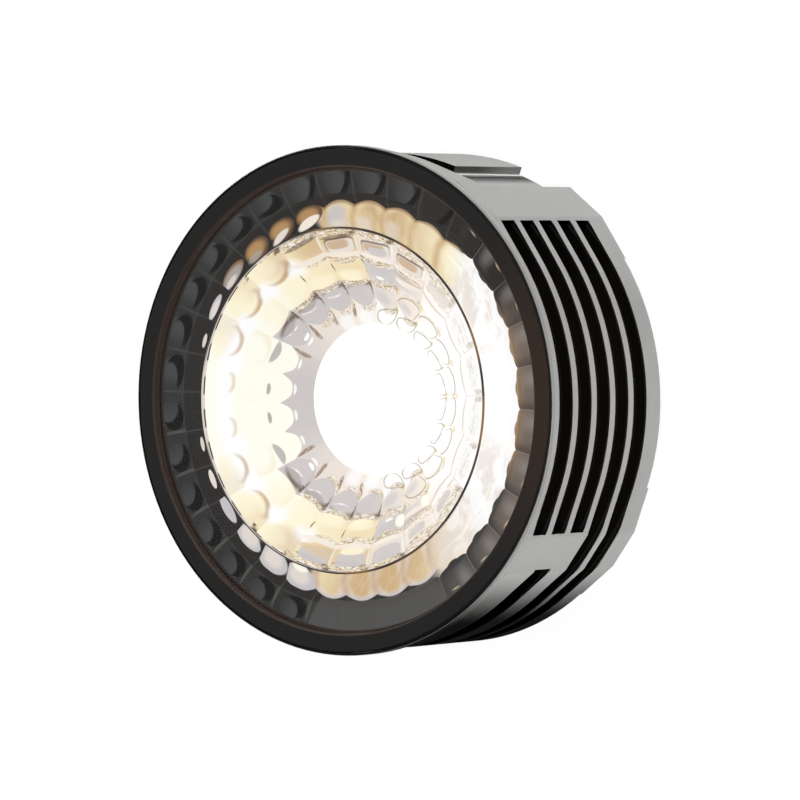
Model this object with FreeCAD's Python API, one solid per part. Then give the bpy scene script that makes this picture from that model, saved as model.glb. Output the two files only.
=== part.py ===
import FreeCAD, Part
import os
from math import acos, asin, cos, degrees, radians, sin

# Round spotlight module, 50 mm across and 20 mm deep, standing on its back with the lens up.
# +Z is the light's axis, +Y runs to the key tab, and the origin is the middle of the back face.
# All sizes are in millimetres and all angles in degrees.

# Outer drum of the housing
module_depth = 20.0
lip_r = 25.0
lip_reach = 0.35
lip_chamfer = 0.2
lip_width = 1.2
edge_chamfer = 0.3

# Cooling grooves round the drum, measured back from the front face and in from its top and low sides
groove_depth = 1.15
groove_start = 2.0
groove_width = 2.1
groove_pitch = 3.25
side_groove_count = 3
long_groove_count = 2
groove_top_drop = 7.85
groove_low_rise = 10.95
groove_edge = 0.12
wide_groove_start = 6.1
wide_groove_width = 2.65

# Flat pads beside the grooves and the recess with the key tab between the upper two
pad_rise = 0.35
pad_gap_angle = 0.2
upper_pad_half = 6.4
lower_pad_half = 4.9
recess_start = 4.1
recess_drop = 4.35
tab_start = 7.3
tab_end_gap = 1.1
tab_half_angle = 23.5
tab_height = 0.85
tab_flatness = 3.5
tab_foot_height = 0.25
tab_foot_half_angle = 24.3

# Walls inside the housing
wall = 1.1
deck_thickness = 2.0
driver_headroom = 0.6
post_count = 3
post_r = 2.7
post_inset = 2.5
post_turn = 90.0

# Front bezel and lens
fit_gap = 0.05
bezel_thickness = 1.0
bezel_width = 1.8
bezel_chamfer = 0.15
lip_step = 0.05
lip_wall = 0.25
lens_sink = 0.3
lens_gap = 0.1
lens_flange_width = 0.5
lens_flange_thickness = 0.5
lens_front_width = 5.9
lens_foot_wall = 1.7
lens_web = 1.0
bowl_floor_r = 7.5
bowl_rows = 4
bowl_cells = 22
bowl_power = 1.15
side_cells = 32
side_rows = 7
side_power = 1.12
side_top_inset = 2.1
lens_pocket_gap = 0.3
lens_pocket_depth = 0.8

# Light source on the deck
thermal_pad_thickness = 0.3
substrate_border = 0.55
substrate_thickness = 1.0
phosphor_r = 5.5
phosphor_thickness = 0.4
dam_width = 0.7
dam_height = 0.5
dam_round = 0.18
holder_rim = 0.9
holder_top = 1.0
holder_opening_gap = 0.4
holder_flare = 0.5
holder_gap = 0.1
holder_screw_inset = 3.85
holder_screw_r = 0.9
holder_screw_head_r = 1.5
holder_screw_head_height = 0.9
holder_screw_round = 0.3
holder_screw_sink = 0.8
holder_screw_reach = 1.5
holder_screw_slot_reach = 0.9
holder_screw_slot = 0.3
pin_inset = 1.25
pin_turn = 45.0
pin_r = 0.45
pin_gap = 0.1
contact_width = 1.6
contact_thickness = 0.2
contact_overlap = 1.9
contact_tail = 0.4

# Back cover with its cable inlet
cover_thickness = 1.4
cover_screw_r = 0.9
cover_screw_head_r = 1.9
cover_screw_reach = 4.5
cover_screw_slot_reach = 1.15
cover_screw_slot = 0.33
cover_rib_width = 1.2
cover_rib_length = 3.0
cover_rib_inset = 3.4
inlet_inset = 9.9
cable_r = 2.6
grommet_wall = 1.0
grommet_flange = 1.0
grommet_flange_thickness = 0.8
inlet_collar_wall = 1.0
inlet_collar_height = 1.2

# Driver board and its parts
board_gap = 0.6
board_rim_gap = 0.6
board_thickness = 1.0
post_gap = 0.3
sheet_thickness = 0.4
sheet_gap = 0.1
sheet_rim_gap = 0.5

choke_from_terminal = 6.5
choke_r = 3.9
choke_height = 3.4
choke_flange = 0.7
choke_waist_r = 2.2
winding_r = 3.5

capacitor_at = (-13.8, 2.0)
capacitor_r = 1.75
capacitor_length = 11.0
capacitor_edge = 0.4

film_at = (12.5, 3.5)
film_size = (3.2, 8.0, 3.5)
film_edge = 0.5

bridge_at = (8.5, -3.5)
bridge_size = (4.6, 4.0, 1.9)
bridge_edge = 0.3

chip_at = (-7.1, 1.0)
chip_size = (4.9, 3.9, 1.5)
chip_leads = 4
chip_lead_pitch = 1.27
chip_lead_width = 0.4
chip_lead_thickness = 0.2
chip_lead_reach = 1.1

fuse_at = (-9.0, -11.6)
fuse_length = 5.4
fuse_r = 1.1
fuse_cap_r = 1.35
fuse_cap_length = 1.2

terminal_from_inlet = 7.5
terminal_size = (7.6, 4.6, 3.6)
terminal_mouth_r = 1.1
terminal_mouth_pitch = 3.6
terminal_mouth_depth = 3.0
terminal_screw_r = 1.0
terminal_screw_height = 0.5
terminal_slot_width = 0.2

# Drum, grooves and pads, worked out from the sizes above
body_r = lip_r - lip_reach
groove_floor_r = body_r - groove_depth
inner_r = groove_floor_r - wall
groove_top_y = body_r - groove_top_drop
groove_low_y = groove_low_rise - body_r
recess_side_y = body_r - recess_drop
pad_flat_r = body_r + pad_rise
upper_pad_mid = degrees(asin(groove_top_y / body_r)) + pad_gap_angle + upper_pad_half
lower_pad_mid = degrees(asin(groove_low_y / body_r)) - pad_gap_angle - lower_pad_half
wide_groove_angle = lower_pad_mid - lower_pad_half - pad_gap_angle

# Driver space, worked out
board_z = cover_thickness + board_gap
board_top = board_z + board_thickness
tallest_part = max(choke_height, 2 * capacitor_r, 2 * fuse_cap_r, film_size[2], terminal_size[2])
sheet_z = board_top + tallest_part + driver_headroom
deck_z = sheet_z + sheet_thickness + sheet_gap
deck_top = deck_z + deck_thickness
post_circle_r = inner_r - post_inset
cover_rib_circle_r = inner_r - cover_rib_inset
grommet_r = cable_r + grommet_wall
inlet_collar_r = grommet_r + fit_gap + inlet_collar_wall
inlet_y = inlet_inset - inner_r
terminal_at = (0.0, inlet_y + terminal_from_inlet)
choke_at = (0.0, terminal_at[1] + choke_from_terminal)

# Light source, worked out
dam_r = phosphor_r + dam_width
substrate_side = 2 * (dam_r + substrate_border)
substrate_corner_r = substrate_side / 2 ** 0.5
substrate_z = deck_top + thermal_pad_thickness
substrate_top = substrate_z + substrate_thickness
holder_z = substrate_top + holder_top
holder_opening_r = dam_r + holder_opening_gap
holder_screw_circle_r = substrate_side / 2 + holder_screw_inset
holder_r = holder_screw_circle_r + holder_screw_head_r + holder_rim
pin_circle_r = substrate_corner_r + pin_inset

# Bezel and lens, worked out
bezel_z = module_depth - bezel_thickness
bezel_r = lip_r - lip_wall - fit_gap
bezel_seat_r = bezel_r + fit_gap
bezel_inner_r = bezel_r - bezel_width
lens_top = module_depth - lens_sink
lens_r = bezel_inner_r - lens_gap
lens_flange_r = lens_r + lens_flange_width
flange_seat_r = lens_flange_r + fit_gap
lens_flange_top = bezel_z - fit_gap
lens_ledge_z = lens_flange_top - lens_flange_thickness
lens_foot_z = holder_z + holder_gap
lens_pocket_r = holder_opening_r + lens_pocket_gap
lens_pocket_top = lens_foot_z + lens_pocket_depth
side_foot_r = lens_pocket_r + lens_foot_wall
bowl_rim_r = lens_r - lens_front_width
bowl_floor_z = lens_pocket_top + lens_web

UP = FreeCAD.Vector(0, 0, 1)
CENTRE = FreeCAD.Vector(0, 0, 0)


def at(x, y, z):
    return FreeCAD.Vector(x, y, z)


def polar(radius, angle, z=0.0):
    """Point at a radius and an angle about the light's axis."""
    return at(radius * cos(radians(angle)), radius * sin(radians(angle)), z)


def disc(radius, z0, z1, x=0.0, y=0.0):
    return Part.makeCylinder(radius, z1 - z0, at(x, y, z0))


def ring(inner, outer, z0, z1):
    return disc(outer, z0, z1).cut(disc(inner, z0, z1))


def block(x0, x1, y0, y1, z0, z1):
    return Part.makeBox(x1 - x0, y1 - y0, z1 - z0, at(x0, y0, z0))


def centred_block(size, place, z0):
    """Block of a size (x, y, z), with the middle of its foot at a place on a level."""
    x, y = place
    return block(x - size[0] / 2, x + size[0] / 2, y - size[1] / 2, y + size[1] / 2, z0, z0 + size[2])


def turned(points):
    """Solid of revolution about the light's axis from a closed outline of (r, z) points."""
    corners = [at(r, 0, z) for r, z in points]
    face = Part.Face(Part.makePolygon(corners + corners[:1]))
    return face.revolve(CENTRE, UP, 360)


def prism(corners, z0, z1):
    """Upright prism on a closed outline of points."""
    base = [at(p.x, p.y, z0) for p in corners]
    return Part.Face(Part.makePolygon(base + base[:1])).extrude(at(0, 0, z1 - z0))


def sector(half_angle, middle, z0, z1):
    """Wedge about the light's axis that reaches past the drum, to cut arcs from rings."""
    reach = 2 * lip_r
    return prism([CENTRE, polar(reach, middle - half_angle), polar(reach, middle + half_angle)], z0, z1)


def around(shape, count, turn=0.0):
    """Copies of a shape, evenly spaced about the light's axis."""
    copies = []
    for i in range(count):
        copy = shape.copy()
        copy.rotate(CENTRE, UP, turn + 360.0 * i / count)
        copies.append(copy)
    return copies


def mirrored(shape):
    """A shape and its mirror image across the plane x = 0."""
    return [shape, shape.mirror(CENTRE, at(1, 0, 0))]


def post_places():
    return [polar(post_circle_r, post_turn + 360.0 * i / post_count) for i in range(post_count)]


# Housing

def drum():
    """Closed wall with a deck across it, a lip round the front and a seat for bezel and lens."""
    lip_top = module_depth - lip_step
    lip_back = module_depth - lip_width
    outline = [
        (inner_r, 0), (body_r - edge_chamfer, 0), (body_r, edge_chamfer), (body_r, lip_back),
        (lip_r, lip_back), (lip_r, lip_top - lip_chamfer), (lip_r - lip_chamfer, lip_top),
        (bezel_seat_r, lip_top), (bezel_seat_r, bezel_z), (flange_seat_r, bezel_z),
        (flange_seat_r, lens_ledge_z), (inner_r, lens_ledge_z),
    ]
    return turned(outline).fuse(disc(inner_r + wall / 2, deck_z, deck_top))


def pad(middle, half_angle):
    """Flat-faced pad: its corners run off along tangents to the drum."""
    corner_r = pad_flat_r / cos(radians(half_angle))
    run_off = degrees(acos(body_r / corner_r))
    outline = [
        polar(inner_r, middle - half_angle),
        polar(body_r, middle - half_angle - run_off),
        polar(corner_r, middle - half_angle),
        polar(corner_r, middle + half_angle),
        polar(body_r, middle + half_angle + run_off),
        polar(inner_r, middle + half_angle),
    ]
    bore = disc(groove_floor_r, 0, bezel_z)
    seat = disc(bezel_seat_r, bezel_z, module_depth)
    return prism(outline, 0, module_depth - lip_width).cut([bore, seat])


def groove(start, width, low_y, high_y):
    """Arc of a ring-shaped groove with bevelled edges, between two levels across the drum and pads."""
    top = module_depth - start
    low = top - width
    reach = 2 * lip_r
    band = turned([
        (groove_floor_r, low), (body_r - groove_edge, low), (body_r, low - groove_edge),
        (reach, low - groove_edge), (reach, top + groove_edge), (body_r, top + groove_edge),
        (body_r - groove_edge, top), (groove_floor_r, top),
    ])
    return band.common(block(-reach, reach, low_y, high_y, 0, module_depth))


def grooves():
    cuts = []
    for i in range(side_groove_count + long_groove_count):
        low_y = groove_low_y if i < side_groove_count else -2 * lip_r
        cuts.append(groove(groove_start + i * groove_pitch, groove_width, low_y, groove_top_y))
    wide_top_y = body_r * sin(radians(wide_groove_angle))
    cuts.append(groove(wide_groove_start, wide_groove_width, -2 * lip_r, wide_top_y))
    return cuts


def key_recess():
    top = module_depth - recess_start
    band = ring(groove_floor_r, 2 * lip_r, 0, top)
    return band.common(block(-lip_r, lip_r, recess_side_y, 2 * lip_r, 0, top))


def key_tab():
    """Curved tab in the recess, flatter than the drum, on a low foot that is a little wider."""
    top = module_depth - tab_start
    root_r = groove_floor_r - wall / 2
    curve_r = groove_floor_r + tab_flatness
    crown = disc(curve_r, tab_end_gap, top, 0, tab_height - tab_flatness)
    plate = crown.cut(disc(root_r, tab_end_gap, top))
    plate = plate.common(sector(tab_half_angle, 90, tab_end_gap, top))
    foot = ring(root_r, groove_floor_r + tab_foot_height, tab_end_gap, top)
    foot = foot.common(sector(tab_foot_half_angle, 90, tab_end_gap, top))
    return plate.fuse(foot)


def screw_post(place):
    """Post that hangs from the deck beside the wall, with a blind hole for a cover screw."""
    post = disc(post_r, cover_thickness, deck_z + deck_thickness / 2, place.x, place.y)
    return post.common(disc(inner_r + wall / 2, 0, deck_top))


def housing():
    upper = mirrored(pad(upper_pad_mid, upper_pad_half))
    lower = mirrored(pad(lower_pad_mid, lower_pad_half))
    body = drum().multiFuse(upper + lower)
    body = body.cut(grooves() + [key_recess()])
    body = body.multiFuse([key_tab()] + [screw_post(place) for place in post_places()])
    holes = []
    for place in post_places():
        depth = cover_thickness + cover_screw_reach + fit_gap
        holes.append(disc(cover_screw_r + fit_gap, 0, depth, place.x, place.y))
    for place in screw_places():
        low = deck_top - holder_screw_reach - fit_gap
        holes.append(disc(holder_screw_r + fit_gap, low, deck_top, place.x, place.y))
    for place in pin_places():
        holes.append(disc(pin_r + pin_gap, deck_z, deck_top, place.x, place.y))
    return body.cut(holes).removeSplitter()


# Front bezel and lens

def front_bezel():
    top = module_depth
    return turned([
        (bezel_inner_r, bezel_z), (bezel_r, bezel_z), (bezel_r, top - bezel_chamfer),
        (bezel_r - bezel_chamfer, top), (bezel_inner_r + bezel_chamfer, top),
        (bezel_inner_r, top - bezel_chamfer),
    ])


def polygon(radius, z, sides):
    corners = [polar(radius, 360.0 * i / sides, z) for i in range(sides)]
    return Part.makePolygon(corners + corners[:1])


def facetted_side():
    """Solid cone of flat cells that widens from the foot to the flange, steeper as it rises."""
    rings = []
    side_top_r = lens_r - side_top_inset
    for i in range(side_rows + 1):
        share = i / side_rows
        radius = side_foot_r + (side_top_r - side_foot_r) * share
        z = lens_foot_z + (lens_ledge_z - lens_foot_z) * share ** side_power
        rings.append(polygon(radius, z, side_cells))
    return Part.makeLoft(rings, True, True)


def facetted_bowl():
    """Hollow of flat cells, from a flat floor up to its rim in the front face, flatter as it rises."""
    rings = []
    for i in range(bowl_rows + 1):
        share = i / bowl_rows
        radius = bowl_floor_r + (bowl_rim_r - bowl_floor_r) * share
        z = lens_top - (lens_top - bowl_floor_z) * (1 - share) ** bowl_power
        rings.append(polygon(radius, z, bowl_cells))
    return Part.makeLoft(rings, True, True)


def lens():
    """Clear collimator: facetted side, retaining flange, flat front and a facetted bowl."""
    flange = disc(lens_flange_r, lens_ledge_z, lens_flange_top)
    front = disc(lens_r, lens_flange_top, lens_top)
    solid = facetted_side().multiFuse([flange, front]).cut(facetted_bowl())
    return solid.cut(disc(lens_pocket_r, lens_foot_z, lens_pocket_top))


# Light source

def screw_places():
    return [polar(holder_screw_circle_r, angle) for angle in (90, 270)]


def pin_places():
    return [polar(pin_circle_r, pin_turn + angle) for angle in (0, 180)]


def thermal_pad():
    return centred_block((substrate_side, substrate_side, thermal_pad_thickness), (0, 0), deck_top)


def led_substrate():
    return centred_block((substrate_side, substrate_side, substrate_thickness), (0, 0), substrate_z)


def led_phosphor():
    return disc(phosphor_r, substrate_top, substrate_top + phosphor_thickness)


def led_dam():
    """Rounded wall round the light-emitting disc."""
    top = substrate_top + dam_height
    return turned([
        (phosphor_r, substrate_top), (dam_r, substrate_top), (dam_r, top - dam_round),
        (dam_r - dam_round, top), (phosphor_r + dam_round, top), (phosphor_r, top - dam_round),
    ])


def led_holder():
    """Ring that clamps the substrate, with a flared opening and sunk screw seats."""
    body = disc(holder_r, deck_top, holder_z)
    pocket_side = substrate_side + 2 * holder_gap
    pocket = centred_block((pocket_side, pocket_side, substrate_top - deck_top), (0, 0), deck_top)
    flare = Part.makeCone(holder_opening_r, holder_opening_r + holder_flare, holder_z - substrate_top,
                          at(0, 0, substrate_top))
    cuts = [pocket, flare]
    for place in screw_places():
        cuts.append(disc(holder_screw_r + holder_gap, deck_top, holder_z, place.x, place.y))
        seat = holder_z - holder_screw_sink
        cuts.append(disc(holder_screw_head_r + holder_gap, seat, holder_z, place.x, place.y))
    for contact in contact_blocks(holder_gap):
        cuts.append(contact)
    for place in pin_places():
        cuts.append(disc(pin_r + pin_gap, deck_top, substrate_top, place.x, place.y))
    return body.cut(cuts)


def cross_slot(reach, width, z0, z1):
    """Two crossed blocks that cut the drive of a screw's head."""
    half = width / 2
    return [block(-reach, reach, -half, half, z0, z1), block(-half, half, -reach, reach, z0, z1)]


def holder_screw(place):
    """Pan-head screw with a cross slot."""
    seat = holder_z - holder_screw_sink
    top = seat + holder_screw_head_height
    head = disc(holder_screw_head_r, seat, top)
    head = head.makeChamfer(holder_screw_round, [head.Edges[0]])
    shank = disc(holder_screw_r, deck_top - holder_screw_reach, seat)
    slot = cross_slot(holder_screw_slot_reach, holder_screw_slot, top - holder_screw_slot, top)
    screw = head.fuse(shank).cut(slot)
    screw.translate(place)
    return screw


def led_holder_screws():
    return Part.makeCompound([holder_screw(place) for place in screw_places()])


def contact_blocks(margin=0.0):
    """Strips from each pin onto the substrate's corners; a margin makes their channels."""
    low = substrate_top
    outer = pin_circle_r + pin_r + contact_tail + margin
    inner = substrate_corner_r - contact_overlap - margin
    half = contact_width / 2 + margin
    strip = block(inner, outer, -half, half, low, low + contact_thickness + margin)
    return around(strip, 2, pin_turn)


def led_contacts():
    return Part.makeCompound(contact_blocks())


def led_pins():
    """Two pins that carry the current from the driver board through the deck."""
    return Part.makeCompound([disc(pin_r, board_top, substrate_top, p.x, p.y) for p in pin_places()])


# Driver

def post_scallops(z0, z1):
    return [disc(post_r + post_gap, z0, z1, place.x, place.y) for place in post_places()]


def insulation_sheet():
    """Sheet between the driver and the deck, cut round the posts and pins."""
    top = sheet_z + sheet_thickness
    sheet = disc(inner_r - sheet_rim_gap, sheet_z, top)
    pins = [disc(pin_r + pin_gap, sheet_z, top, place.x, place.y) for place in pin_places()]
    return sheet.cut(post_scallops(sheet_z, top) + pins)


def driver_board():
    """Round board with scallops for the posts and a notch for the cable."""
    board = disc(inner_r - board_rim_gap, board_z, board_top)
    notch_r = inlet_collar_r + post_gap
    notch = disc(notch_r, board_z, board_top, 0, inlet_y)
    return board.cut(post_scallops(board_z, board_top) + [notch])


def choke_core():
    x, y = choke_at
    low = disc(choke_r, board_top, board_top + choke_flange, x, y)
    waist = disc(choke_waist_r, board_top, board_top + choke_height, x, y)
    high = disc(choke_r, board_top + choke_height - choke_flange, board_top + choke_height, x, y)
    return waist.multiFuse([low, high])


def choke_winding():
    x, y = choke_at
    low = board_top + choke_flange
    coil = ring(choke_waist_r, winding_r, low, low + choke_height - 2 * choke_flange)
    coil.translate(at(x, y, 0))
    return coil


def smoothing_capacitor():
    """Lying can with bevelled ends."""
    x, y = capacitor_at
    foot = at(x, y - capacitor_length / 2, board_top + capacitor_r)
    can = Part.makeCylinder(capacitor_r, capacitor_length, foot, at(0, 1, 0))
    return can.makeChamfer(capacitor_edge, [edge for edge in can.Edges if edge.Closed])


def film_capacitor():
    body = centred_block(film_size, film_at, board_top)
    level = board_top + film_edge
    return body.makeFillet(film_edge, [edge for edge in body.Edges if edge.CenterOfMass.z > level])


def bridge_rectifier():
    body = centred_block(bridge_size, bridge_at, board_top)
    level = board_top + bridge_size[2] - bridge_edge
    return body.makeChamfer(bridge_edge, [edge for edge in body.Edges if edge.CenterOfMass.z > level])


def driver_chip():
    """Moulded chip with a row of bent leads on each long side."""
    x, y = chip_at
    length, width, height = chip_size
    foot = board_top + chip_lead_thickness
    body = centred_block((length, width, height - chip_lead_thickness), (x, y), foot)
    leads = []
    for i in range(chip_leads):
        lead_x = x + (i - (chip_leads - 1) / 2) * chip_lead_pitch
        x0 = lead_x - chip_lead_width / 2
        x1 = lead_x + chip_lead_width / 2
        for side in (-1, 1):
            root = y + side * width / 2
            tip = root + side * chip_lead_reach
            knee = root + side * chip_lead_reach / 2
            inner = root - side * chip_lead_thickness
            mid = board_top + height / 2
            thick = chip_lead_thickness
            leads.append(block(x0, x1, min(knee, tip), max(knee, tip), board_top, board_top + thick))
            leads.append(block(x0, x1, min(knee, knee - side * thick), max(knee, knee - side * thick),
                               board_top, mid + thick))
            leads.append(block(x0, x1, min(inner, knee), max(inner, knee), mid, mid + thick))
    return body.multiFuse(leads)


def fuse_resistor():
    """Lying fusible resistor, thicker at its end caps."""
    x, y = fuse_at
    half = fuse_length / 2
    axis_z = board_top + fuse_cap_r
    middle = Part.makeCylinder(fuse_r, fuse_length, at(x - half, y, axis_z), at(1, 0, 0))
    caps = []
    for start in (x - half, x + half - fuse_cap_length):
        caps.append(Part.makeCylinder(fuse_cap_r, fuse_cap_length, at(start, y, axis_z), at(1, 0, 0)))
    return middle.multiFuse(caps)


def terminal_block():
    """Two-way terminal: wires enter from the inlet's side, screws close it from above."""
    x, y = terminal_at
    body = centred_block(terminal_size, terminal_at, board_top)
    front = y - terminal_size[1] / 2
    top = board_top + terminal_size[2]
    cuts = []
    for side in (-1, 1):
        mouth_x = x + side * terminal_mouth_pitch / 2
        mouth = at(mouth_x, front, board_top + terminal_size[2] / 2)
        cuts.append(Part.makeCylinder(terminal_mouth_r, terminal_mouth_depth, mouth, at(0, 1, 0)))
        cuts.append(disc(terminal_screw_r + fit_gap, top - terminal_screw_height, top, mouth_x, y))
    return body.cut(cuts)


def terminal_screws():
    x, y = terminal_at
    top = board_top + terminal_size[2]
    screws = []
    half = terminal_slot_width / 2
    for side in (-1, 1):
        mid = x + side * terminal_mouth_pitch / 2
        screw = disc(terminal_screw_r, top - terminal_screw_height, top, mid, y)
        slot = block(mid - terminal_screw_r, mid + terminal_screw_r, y - half, y + half,
                     top - terminal_screw_height / 2, top)
        screws.append(screw.cut(slot))
    return Part.makeCompound(screws)


# Back cover

def cover_rib():
    """Short rib that holds the board clear of the cover, on the cover's +X side."""
    half = cover_rib_width / 2
    r0 = cover_rib_circle_r - cover_rib_length / 2
    return block(r0, r0 + cover_rib_length, -half, half, cover_thickness / 2, board_z)


def back_cover():
    """Flush disc with sunk screw seats, ribs for the board and a collar round the cable inlet."""
    cover = disc(inner_r - fit_gap, 0, cover_thickness)
    collar = disc(inlet_collar_r, 0, cover_thickness + inlet_collar_height, 0, inlet_y)
    between_posts = post_turn + 180.0 / post_count
    cover = cover.multiFuse([collar] + around(cover_rib(), post_count, between_posts))
    cuts = [disc(grommet_r + fit_gap, 0, cover_thickness + inlet_collar_height, 0, inlet_y)]
    for place in post_places():
        cuts.append(disc(cover_screw_r + fit_gap, 0, cover_thickness, place.x, place.y))
        sink = cover_screw_head_r - cover_screw_r
        cuts.append(Part.makeCone(cover_screw_head_r + fit_gap, cover_screw_r + fit_gap, sink,
                                  at(place.x, place.y, 0)))
    return cover.cut(cuts)


def cover_screw(place):
    """Countersunk screw, flush with the cover, with a cross slot."""
    sink = cover_screw_head_r - cover_screw_r
    head = Part.makeCone(cover_screw_head_r, cover_screw_r, sink, CENTRE)
    shank = disc(cover_screw_r, 0, cover_thickness + cover_screw_reach)
    slot = cross_slot(cover_screw_slot_reach, cover_screw_slot, 0, cover_screw_slot)
    screw = head.fuse(shank).cut(slot)
    screw.translate(place)
    return screw


def back_cover_screws():
    return Part.makeCompound([cover_screw(place) for place in post_places()])


def cable_grommet():
    """Soft bush in the inlet, with a flange behind the collar."""
    collar_top = cover_thickness + inlet_collar_height
    top = collar_top + grommet_flange_thickness
    bush = turned([
        (cable_r, 0), (grommet_r, 0), (grommet_r, collar_top), (grommet_r + grommet_flange, collar_top),
        (grommet_r + grommet_flange, top), (cable_r, top),
    ])
    bush.translate(at(0, inlet_y, 0))
    return bush


NODES = {
    "housing": housing,
    "front_bezel": front_bezel,
    "lens": lens,
    "thermal_pad": thermal_pad,
    "led_substrate": led_substrate,
    "led_phosphor": led_phosphor,
    "led_dam": led_dam,
    "led_holder": led_holder,
    "led_holder_screws": led_holder_screws,
    "led_contacts": led_contacts,
    "led_pins": led_pins,
    "insulation_sheet": insulation_sheet,
    "driver_board": driver_board,
    "choke_core": choke_core,
    "choke_winding": choke_winding,
    "smoothing_capacitor": smoothing_capacitor,
    "film_capacitor": film_capacitor,
    "bridge_rectifier": bridge_rectifier,
    "driver_chip": driver_chip,
    "fuse_resistor": fuse_resistor,
    "terminal_block": terminal_block,
    "terminal_screws": terminal_screws,
    "back_cover": back_cover,
    "back_cover_screws": back_cover_screws,
    "cable_grommet": cable_grommet,
}

os.makedirs("parts", exist_ok=True)
for name, make in NODES.items():
    shape = make()
    shape.exportStep("parts/" + name + ".step")
    box = shape.BoundBox
    print(name, len(shape.Solids), "solids, volume", round(shape.Volume, 1), "mm3, valid", shape.isValid(),
          "z", round(box.ZMin, 2), round(box.ZMax, 2))
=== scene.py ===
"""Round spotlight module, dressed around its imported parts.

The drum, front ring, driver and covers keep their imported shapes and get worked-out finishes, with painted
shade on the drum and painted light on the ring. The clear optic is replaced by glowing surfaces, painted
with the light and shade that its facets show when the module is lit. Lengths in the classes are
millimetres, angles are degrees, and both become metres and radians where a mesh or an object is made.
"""

from __future__ import annotations

import logging
import math
from dataclasses import dataclass, field
from enum import Enum

import bmesh
import bpy
import numpy as np
from mathutils import Matrix, Vector

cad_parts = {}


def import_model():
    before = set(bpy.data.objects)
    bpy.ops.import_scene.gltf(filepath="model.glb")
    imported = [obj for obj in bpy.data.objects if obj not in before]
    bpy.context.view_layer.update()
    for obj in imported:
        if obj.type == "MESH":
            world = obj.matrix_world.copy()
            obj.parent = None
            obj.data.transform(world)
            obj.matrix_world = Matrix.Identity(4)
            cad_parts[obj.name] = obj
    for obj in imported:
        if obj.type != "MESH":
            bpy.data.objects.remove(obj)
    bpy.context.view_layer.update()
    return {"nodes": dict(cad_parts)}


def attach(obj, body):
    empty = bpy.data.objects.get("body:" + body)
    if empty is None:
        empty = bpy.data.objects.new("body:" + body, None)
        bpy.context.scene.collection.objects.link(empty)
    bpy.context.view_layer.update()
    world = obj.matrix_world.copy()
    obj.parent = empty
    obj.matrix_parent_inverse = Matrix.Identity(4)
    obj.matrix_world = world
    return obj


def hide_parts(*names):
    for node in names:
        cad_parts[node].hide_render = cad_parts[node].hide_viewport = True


LOG = logging.getLogger("spotlight")
MM = 0.001

Colour = tuple[float, float, float, float]


def rgb(red: float, green: float, blue: float) -> Colour:
    """Turns a colour as seen on a screen, 0 to 255, into the linear one that a shader takes.

    A channel s is s / 12.92 near black, and ((s + 0.055) / 1.055) to the power 2.4 elsewhere.

    Args:
        red, green, blue: the channels, 0 to 255.
    Returns:
        The linear colour, with an alpha of 1.
    """
    screen = np.array([red, green, blue]) / 255.0
    linear = np.where(screen <= 0.04045, screen / 12.92, ((screen + 0.055) / 1.055) ** 2.4)
    return (*linear.tolist(), 1.0)


def grey(level: float) -> Colour:
    """Gives the linear colour of a neutral grey, 0 to 255."""
    return rgb(level, level, level)


class Tone(Enum):
    """Tones of the lit optic: the painted light and shade that its glowing surfaces show."""

    WHITE = rgb(255, 255, 255)
    CREAM = rgb(255, 254, 240)
    STRAW = rgb(254, 244, 212)
    SAND = rgb(240, 222, 180)
    TAN = rgb(222, 194, 148)
    OCHRE = rgb(190, 150, 100)
    UMBER = rgb(140, 106, 74)
    BROWN = rgb(98, 74, 56)
    DARK = rgb(58, 48, 42)
    LILAC = rgb(204, 198, 197)
    PEARL = rgb(200, 197, 200)
    HONEY = rgb(208, 177, 134)
    WHEAT = rgb(230, 208, 168)
    SHELL = rgb(232, 222, 213)
    BLUSH = rgb(246, 234, 222)
    SLATE = rgb(168, 162, 158)
    OLIVE = rgb(160, 142, 102)
    BLACK = rgb(17, 16, 15)
    INK = rgb(40, 37, 35)
    UNLIT = rgb(46, 45, 44)
    SMOKE = rgb(50, 51, 51)
    PATCH = rgb(74, 77, 77)
    REFLECTION = rgb(84, 83, 82)
    EDGE = rgb(96, 94, 90)
    HAZE = rgb(112, 101, 92)


Stops = list[tuple[float, Tone]]


# Node graphs


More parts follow.
